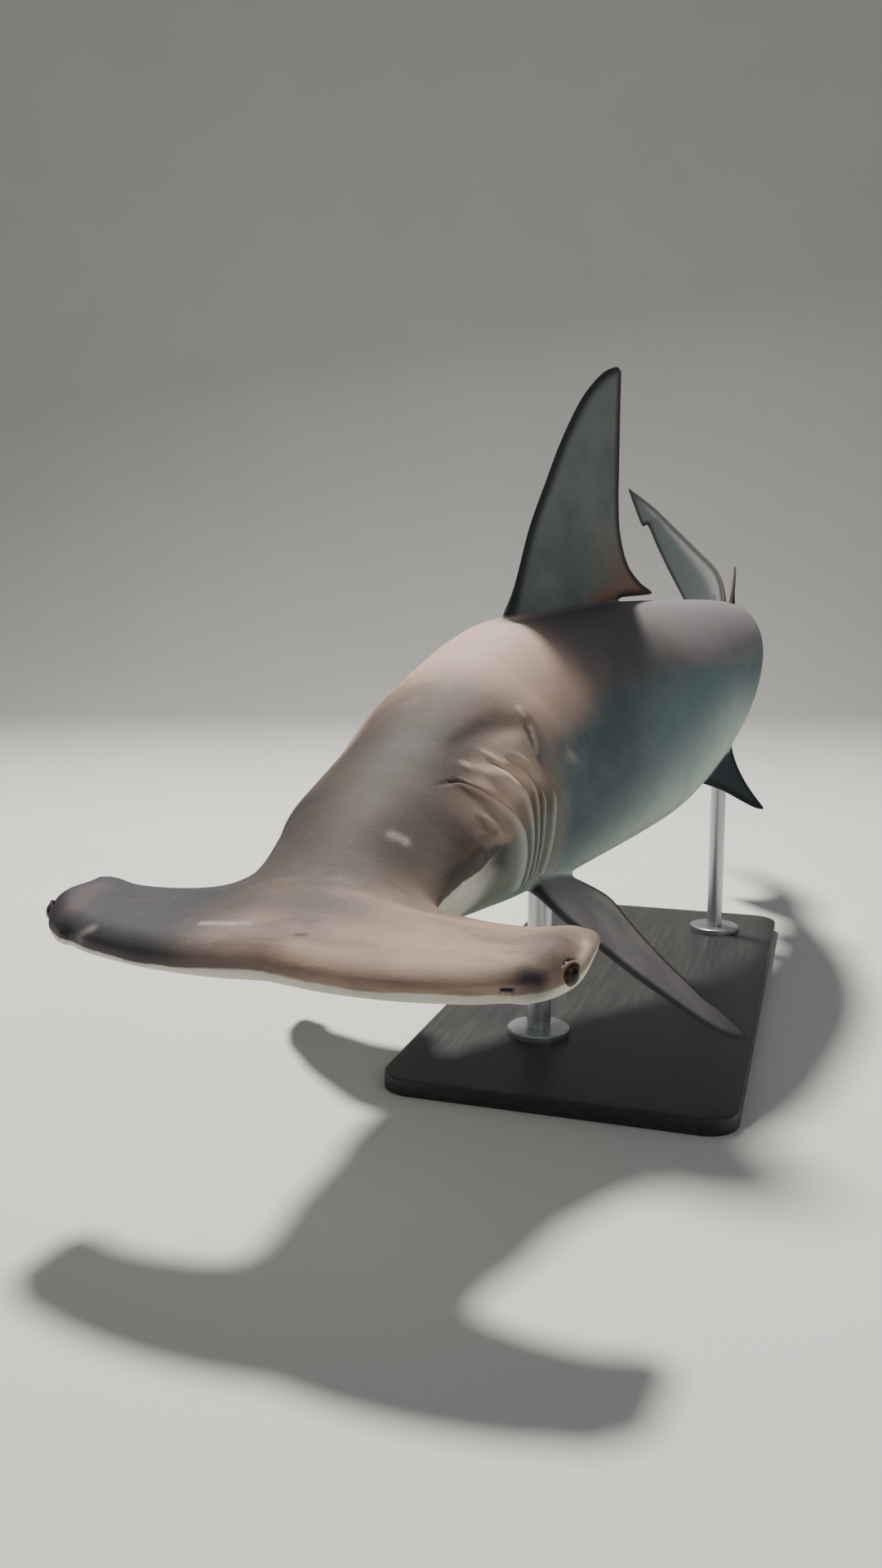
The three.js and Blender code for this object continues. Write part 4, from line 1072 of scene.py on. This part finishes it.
def body_colour(n, station, around, patches, middle):
    """Countershading: a taupe back, a dark slate flank and a pale greenish belly; the slate flank is partly
    painted shade and the belly's green tint is painted bounce light.
    """
    wavering = n.plus(around, n.times(n.minus(middle, 0.5), 0.07))
    trunk = n.step(station, 0.12, 0.175)
    back = n.mix(n.step(middle, 0.35, 0.65), (150, 129, 115), (128, 111, 100))
    back = n.layer(back, (92, 84, 80), n.step(patches, 0.52, 0.66), 0.38)
    back = n.layer(back, (176, 152, 136), n.step(patches, 0.46, 0.34), 0.25)
    # A light band on the shoulder, partly pigment and partly painted light
    back = n.layer(back, (214, 182, 162), n.band(station, 0.205, 0.24, 0.265, 0.31), 0.85)
    back = n.layer(back, (118, 119, 122), n.step(station, 0.33, 0.4), 0.8)
    # A dark saddle over the nape, partly pigment and partly painted shade
    nape = n.band(station, 0.035, 0.09, 0.165, 0.225)
    back = n.layer(back, (68, 60, 54), nape, n.step(wavering, 0.34, 0.16), 0.95)
    # Painted light on the fold zone behind the head
    fold_zone_light = n.band(station, 0.145, 0.17, 0.2, 0.215)
    back = n.layer(back, (206, 180, 160), fold_zone_light, n.band(around, 0.18, 0.28, 0.38, 0.44), 0.6)
    # Painted shadow of the first dorsal fin on the back
    painted_fin_shadow = n.band(station, 0.262, 0.29, 0.345, 0.39)
    back = n.layer(back, (64, 74, 82), painted_fin_shadow, 0.7)
    flank = n.mix(n.step(middle, 0.35, 0.65), (88, 104, 108), (74, 89, 94))
    bend = n.band(station, 0.29, 0.36, 0.42, 0.52)
    flank = n.layer(flank, (114, 132, 136), bend, 0.6)
    # The flank begins as a wavering edge behind the gills, runs as a sharp line past the bend, and fades; it
    # is partly painted shade, and the sharp line is a painted edge of shade along the lateral line.
    front = n.times(n.step(wavering, 0.26, 0.4), n.step(station, 0.195, 0.235))
    line = n.maths("MINIMUM", n.plus(n.times(station, 0.794), 0.02), 0.44)
    rear = n.step(n.minus(around, line), -0.006, 0.012)
    rear = n.blend(n.step(station, 0.43, 0.5), rear, n.step(wavering, 0.27, 0.46))
    shade = n.blend(n.step(station, 0.33, 0.39), front, rear)
    body = n.layer(back, flank, shade, trunk)
    # The throat begins below a hollow, darkened as painted shade, that runs from the head's rear edge to the
    # gills
    hollow_line = n.plus(n.times(n.maths("MINIMUM", station, 0.16), 1.55), 0.25)
    below = n.minus(wavering, hollow_line)
    throat = n.band(station, 0.085, 0.1, 0.19, 0.23)
    body = n.layer(body, (116, 122, 112), n.step(below, -0.015, 0.03), throat)
    hollow_shade = n.band(station, 0.085, 0.1, 0.15, 0.172)
    body = n.layer(body, (44, 49, 50), n.band(below, -0.02, 0.01, 0.03, 0.15), hollow_shade, 0.85)
    rise = n.times(n.minus(n.maths("MINIMUM", station, 0.4), 0.33), 1.1, n.step(station, 0.52, 0.42))
    # A pale belly whose greenish tint is painted bounce light
    belly = n.mix(n.step(middle, 0.4, 0.7), (178, 196, 186), (158, 178, 170))
    body = n.layer(body, belly, n.step(n.plus(wavering, rise), 0.46, 0.74), trunk)
    return n.layer(body, (84, 89, 91), n.step(station, 0.73, 0.775))


def head_colour(n, body, station, across, height, middle):
    """Tints of the head: greyer to the right as painted shade and lighter to the left as painted light, with
    a grey line above the pale underside that is partly painted shade.
    """
    head = n.step(station, 0.15, 0.11)
    body = n.layer(body, (90, 80, 72), n.step(station, 0.02, 0.04), head, 0.75)
    # Painted shade on the right lobe
    body = n.layer(body, (54, 57, 64), n.step(across, -0.03, -0.17), head, 0.85)
    lit = n.times(n.step(across, 0.0, 0.2), n.step(station, 0.085, 0.045))
    lit_edge = n.times(n.step(across, -0.06, 0.05), n.step(station, 0.028, 0.01))
    body = n.layer(body, (182, 154, 134), n.maths("MAXIMUM", lit, lit_edge), 0.6)
    streaks = n.noise(14.0, 4.0, 0.6, (0.35, 1.4, 1.4), 0.5)
    body = n.layer(body, (88, 76, 72), n.step(streaks, 0.46, 0.7), head, 0.55)
    bright = n.times(n.step(streaks, 0.48, 0.25), n.step(station, 0.085, 0.05))
    body = n.layer(body, (200, 172, 150), bright, n.step(across, -0.12, 0.02), 0.3)
    level = n.plus(height, n.times(n.minus(middle, 0.5), 0.014))
    level = n.plus(level, n.times(n.step(across, -0.02, -0.15), 0.005))
    # The grey line above the pale underside, partly painted shade along the front edge
    brow = n.times(n.step(level, 0.014, 0.005), n.step(station, 0.06, 0.03))
    body = n.layer(body, (92, 84, 82), brow, n.step(across, 0.12, -0.04), 0.4)
    pale = n.mix(n.step(middle, 0.4, 0.7), (214, 213, 198), (196, 195, 182))
    return n.layer(body, pale, n.step(level, 0.0035, 0.0), head)


def fin_colours(n, fin, span, chord, edge, middle):
    """Each fin's own tint, with a dark rim; the dark slate of the anal and pelvic fins is painted shade."""
    first = n.mix(n.step(middle, 0.35, 0.7), (108, 115, 112), (89, 98, 98))
    first = n.layer(first, (128, 92, 68), n.step(chord, 0.42, 0.82), n.step(span, 0.55, 0.15), 0.75)
    second = (106, 84, 75)
    tail = n.mix(n.step(chord, 0.4, 0.15), (82, 88, 91), (122, 122, 120))
    pectoral = n.mix(n.step(middle, 0.35, 0.7), (180, 172, 168), (154, 147, 145))
    pectoral = n.layer(pectoral, (96, 99, 102), n.step(span, 0.22, 0.05), 0.8)
    pectoral = n.layer(pectoral, (66, 63, 62), n.step(span, 0.6, 0.95), 0.7)
    # Painted shade: the dark slate of the anal and pelvic fins
    pelvic_in_shade = (58, 66, 70)
    made = first
    for number, tint in enumerate((second, pelvic_in_shade, tail, tail, pectoral, pelvic_in_shade), 2):
        made = n.layer(made, tint, n.step(fin, number - 0.6, number - 0.4))
    return n.layer(made, (34, 35, 38), n.step(edge, 0.02, 0.004), 0.88)


def skin_material():
    n = Nodes("skin")
    station, around, across, height = n.attributes(*PLACES)
    fin, span, chord, edge = n.attributes("fin", "span", "chord", "edge")
    slit, join, fold, rim = n.attributes("slit", "join", "fold", "rim")
    pale, dark, rust = n.attributes("pale", "dark", "rust")
    middle = n.noise(9.0, 5.0, 0.6)
    patches = n.noise(6.0, 3.0, 0.5, None, 0.6)
    fine = n.noise(45.0, 4.0, 0.6)

    body = body_colour(n, station, around, patches, middle)
    body = head_colour(n, body, station, across, height, middle)
    # Painted shade in the creases of the folds and painted light on their crests
    body = n.layer(body, (58, 52, 48), n.step(fold, -0.1, -0.9), 0.75)
    body = n.layer(body, (214, 188, 168), n.step(fold, 0.1, 0.8), 0.6)
    # Painted highlight on the raised rims of the gill flaps
    gill_rim_highlight = n.mix(n.step(around, 0.36, 0.5), (208, 184, 166), (178, 188, 180))
    body = n.layer(body, gill_rim_highlight, n.step(rim, 0.15, 0.8), 0.7)
    body = n.layer(body, (112, 86, 78), rust)
    # Dark blotches, partly painted shade in the hollows by the eyes and nostrils and in a crease by the gills
    body = n.layer(body, (50, 42, 48), dark)
    body = n.layer(body, (214, 198, 186), pale, n.step(fine, 0.15, 0.55))
    body = n.layer(body, (176, 158, 146), n.step(fine, 0.58, 0.8), 0.14)
    # Painted shade, nearly black, inside the gill slits and the nostril slots
    body = n.layer(body, (16, 18, 21), slit, 0.96)
    fins = fin_colours(n, fin, span, chord, edge, middle)
    surface = n.layer(body, fins, n.step(fin, 0.2, 0.8), n.step(join, 0.95, 0.3))

    normal = n.bump(middle, 0.004, 0.3)
    normal = n.bump(n.noise(260.0, 3.0, 0.6), 0.0012, 0.35, normal)
    normal = n.bump(n.noise(900.0, 2.0, 0.5), 0.0005, 0.4, normal)
    n.set(Base_Color=surface, Roughness=n.plus(n.times(middle, 0.14), 0.58), Normal=normal)
    n.set(Specular_IOR_Level=0.2, Subsurface_Weight=0.03, Subsurface_Scale=0.02)
    return n.material


def eye_material():
    """A dark eye with a brown upper iris and an upright pupil."""
    n = Nodes("eye")
    across, up, out = n.attributes("eye_across", "eye_up", "eye_out")
    wide = n.maths("POWER", n.times(n.maths("ABSOLUTE", across), 3.4), 2.0)
    tall = n.maths("POWER", n.times(n.maths("ABSOLUTE", up), 1.6), 2.0)
    iris = n.mix(n.noise(700.0, 3.0, 0.6), (24, 18, 15), (38, 28, 21))
    iris = n.layer(iris, (74, 48, 28), n.step(up, 0.2, 0.6), 0.7)
    made = n.layer(iris, (15, 13, 12), n.step(out, 0.5, 0.35))
    made = n.layer(made, (5, 5, 6), n.step(n.plus(wide, tall), 1.1, 0.8))
    n.set(Base_Color=made, Roughness=0.22, Specular_IOR_Level=0.25)
    return n.material


def wood_material():
    n = Nodes("satin_black_wood")
    grain = n.noise(7.0, 6.0, 0.6, (14.0, 0.8, 14.0), 0.4)
    pores = n.noise(60.0, 4.0, 0.6, (9.0, 0.5, 9.0))
    base = n.mix(n.step(grain, 0.3, 0.75), (34, 33, 33), (52, 50, 49))
    normal = n.bump(pores, 0.0006, 0.25, n.bump(grain, 0.0008, 0.2))
    n.set(Base_Color=base, Roughness=n.plus(n.times(grain, 0.15), 0.32), Normal=normal)
    return n.material


def metal_material():
    n = Nodes("brushed_steel")
    brushed = n.noise(120.0, 3.0, 0.6, (1.0, 1.0, 18.0))
    base = n.mix(brushed, (176, 178, 181), (198, 199, 201))
    n.set(Base_Color=base, Metallic=1.0, Roughness=n.plus(n.times(brushed, 0.14), 0.26))
    n.set(Normal=n.bump(brushed, 0.0003, 0.25))
    return n.material


def pad_material():
    n = Nodes("rubber_pad")
    speckle = n.noise(400.0, 3.0, 0.6)
    base = n.mix(speckle, (48, 48, 50), (66, 66, 67))
    n.set(Base_Color=base, Roughness=0.85, Normal=n.bump(speckle, 0.0006, 0.5))
    return n.material


def floor_material():
    n = Nodes("floor")
    n.set(Base_Color=n.mix(n.noise(1.2, 4.0, 0.5), (214, 211, 205), (222, 220, 214)), Roughness=0.9)
    return n.material


# Stand

TURNED_SIDES = 96
CORNER_STEPS = 16
BEVEL_STEPS = 7
COLLAR_STEPS = 8
SHARP_ANGLE = 35


def ringed(name, rings, material):
    """A closed piece from rings of points, shaded smooth but for its sharp edges."""
    points = [point for ring in rings for point in ring]
    obj = outward(new_object(name, points, ring_faces(len(rings), len(rings[0]))))
    obj.data.shade_smooth()
    obj.data.set_sharp_from_angle(angle=math.radians(SHARP_ANGLE))
    obj.data.materials.append(material)
    return obj


def turned(name, profile, x, y, material):
    """A turned piece from a profile of radius and height pairs, with its axis at x, y."""
    turns = [2 * math.pi * k / TURNED_SIDES for k in range(TURNED_SIDES)]
    rings = [[(x + r * math.cos(a), y + r * math.sin(a), z) for a in turns] for r, z in profile]
    return ringed(name, rings, material)


def arc(radius, centre, start, end, count):
    turns = np.radians(np.linspace(start, end, count))
    return [(centre[0] + radius * math.cos(a), centre[1] + radius * math.sin(a)) for a in turns]


def rounded_rectangle(width, length, corner, inset):
    x, y, r = width / 2 - inset, length / 2 - inset, corner - inset
    middles = [(x - r, y - r, 0), (-x + r, y - r, 90), (-x + r, -y + r, 180), (x - r, -y + r, 270)]
    return [p for cx, cy, a in middles for p in arc(r, (cx, cy), a, a + 90, CORNER_STEPS)]


def build_base(material):
    """The base as stacked outlines with a rounded upper and lower edge."""
    bevel = BASE["bevel"]
    steps = np.radians(np.linspace(0, 90, BEVEL_STEPS))
    levels = [(bevel * (1 - math.sin(a)), bevel * (1 - math.cos(a))) for a in steps]
    levels += [(inset, BASE["height"] - z) for inset, z in reversed(levels)]
    rings = []
    for inset, z in levels:
        outline = rounded_rectangle(BASE["width"], BASE["length"], BASE["corner"], inset)
        rings.append([(x, y, z) for x, y in outline])
    return ringed("base", rings, material)


def build_stand():
    wood, metal, rubber = wood_material(), metal_material(), pad_material()
    own(build_base(wood), "stand_base", "stand_base")
    floor = BASE["height"] + GAP
    top = floor + COLLAR["height"]
    bevel, outer = COLLAR["bevel"], COLLAR["radius"]
    rounding = arc(bevel, (outer - bevel, top - bevel), 0, 90, COLLAR_STEPS)
    for name, (station, radius) in RODS.items():
        x, y, _ = bent(station, 0, 0).reshape(3)
        belly = float(bent(station, 0, read_table(TRUNK, 2, station)).reshape(3)[2])
        collar = [(outer, floor)] + rounding + [(radius, top)]
        own(turned(f"collar_{name}", collar, x, y, metal), "stand_metal", f"stand_collar_{name}")
        shaft = [(radius, top + GAP), (radius, belly - PAD["height"])]
        own(turned(f"rod_{name}", shaft, x, y, metal), "stand_metal", f"stand_rod_{name}")
        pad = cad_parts[f"stand_pad_{name}"]
        pad.data.materials.clear()
        pad.data.materials.append(rubber)


def own(piece, slot, *nodes):
    """A piece that belongs to the object, with the nodes it stands for hidden; the slot, its finish, is not
    used.
    """
    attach(piece, "root")
    if nodes:
        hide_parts(*nodes)
    return piece


# Stage, light and camera


# The floor's near and far edge, half its width, and the curve and height of the backdrop it turns up into
FLOOR = {"reach": 7.0, "half_width": 14.0, "curve": 3.0, "height": 14.0}
# Lights: place, size, power and colour, all turned to one point
LIGHTS = {
    "key": ((-1.7, 1.8, 6.6), 0.9, 900, (1.0, 0.975, 0.94)),
    "fill": ((3.6, -3.6, 3.0), 4.0, 22, (0.9, 0.96, 1.0)),
}
LIT_POINT = (0.0, -0.2, 0.6)
WORLD_COLOUR = (0.86, 0.92, 1.0, 1.0)
WORLD_STRENGTH = 0.22
SENSOR = 36.0


def build_stage():
    """A plain pale floor that turns up into a plain backdrop behind the object."""
    heading = math.radians(CAMERA["heading"])
    forward = np.array([-math.sin(heading), math.cos(heading)])
    right = np.array([math.cos(heading), math.sin(heading)])
    reach, curve, half = FLOOR["reach"], FLOOR["curve"], FLOOR["half_width"]
    turns = np.radians(np.linspace(5, 90, 18))
    rise = [(reach + curve * math.sin(a), curve * (1 - math.cos(a))) for a in turns]
    profile = [(-reach, 0.0), (reach, 0.0)] + rise + [(reach + curve, FLOOR["height"])]
    points = [(*(forward * run + right * side), z) for run, z in profile for side in (-half, half)]
    faces = [[k, k + 1, k + 3, k + 2] for k in range(0, len(points) - 2, 2)]
    floor = new_object("floor", points, faces)
    floor.data.shade_smooth()
    floor.data.materials.append(floor_material())


def build_light():
    scene = bpy.context.scene
    for name, (place, size, power, tint) in LIGHTS.items():
        data = bpy.data.lights.new(name, "AREA")
        data.shape, data.size, data.energy, data.color = "DISK", size, power, tint
        obj = bpy.data.objects.new(name, data)
        obj.location = place
        x, y, z = np.array(LIT_POINT) - np.array(place)
        obj.rotation_euler = (math.atan2(math.hypot(x, y), -z), 0, math.atan2(y, x) - math.pi / 2)
        scene.collection.objects.link(obj)
    scene.world = bpy.data.worlds.new("studio")
    scene.world.use_nodes = True
    background = scene.world.node_tree.nodes["Background"]
    background.inputs["Color"].default_value = WORLD_COLOUR
    background.inputs["Strength"].default_value = WORLD_STRENGTH


def build_camera():
    data = bpy.data.cameras.new("camera")
    data.sensor_fit = "VERTICAL"
    data.sensor_height = SENSOR
    data.lens = SENSOR * CAMERA["focal"] / PHOTO[1]
    data.clip_start = 0.05
    down = math.atan((PHOTO[1] / 2 - CAMERA["horizon"]) / CAMERA["focal"])
    camera = bpy.data.objects.new("camera", data)
    camera.location = CAMERA["place"]
    camera.rotation_euler = (math.pi / 2 - down, 0, math.radians(CAMERA["heading"]))
    bpy.context.scene.collection.objects.link(camera)
    bpy.context.scene.camera = camera


def build_eyes(material):
    for name, side in SIDES.items():
        eye = ball(f"eyeball_{name}", side, EYE["radius"])
        eye.data.shade_smooth()
        eye.data.materials.append(material)
        own(eye, "eye", f"eye_{name}")


build_camera()
build_stage()
build_light()
skin = build_skin()
skin.data.materials.clear()
skin.data.materials.append(skin_material())
own(skin, "skin", *FLESH)
build_eyes(eye_material())
build_stand()
print("skin triangles", sum(len(p.vertices) - 2 for p in skin.data.polygons))
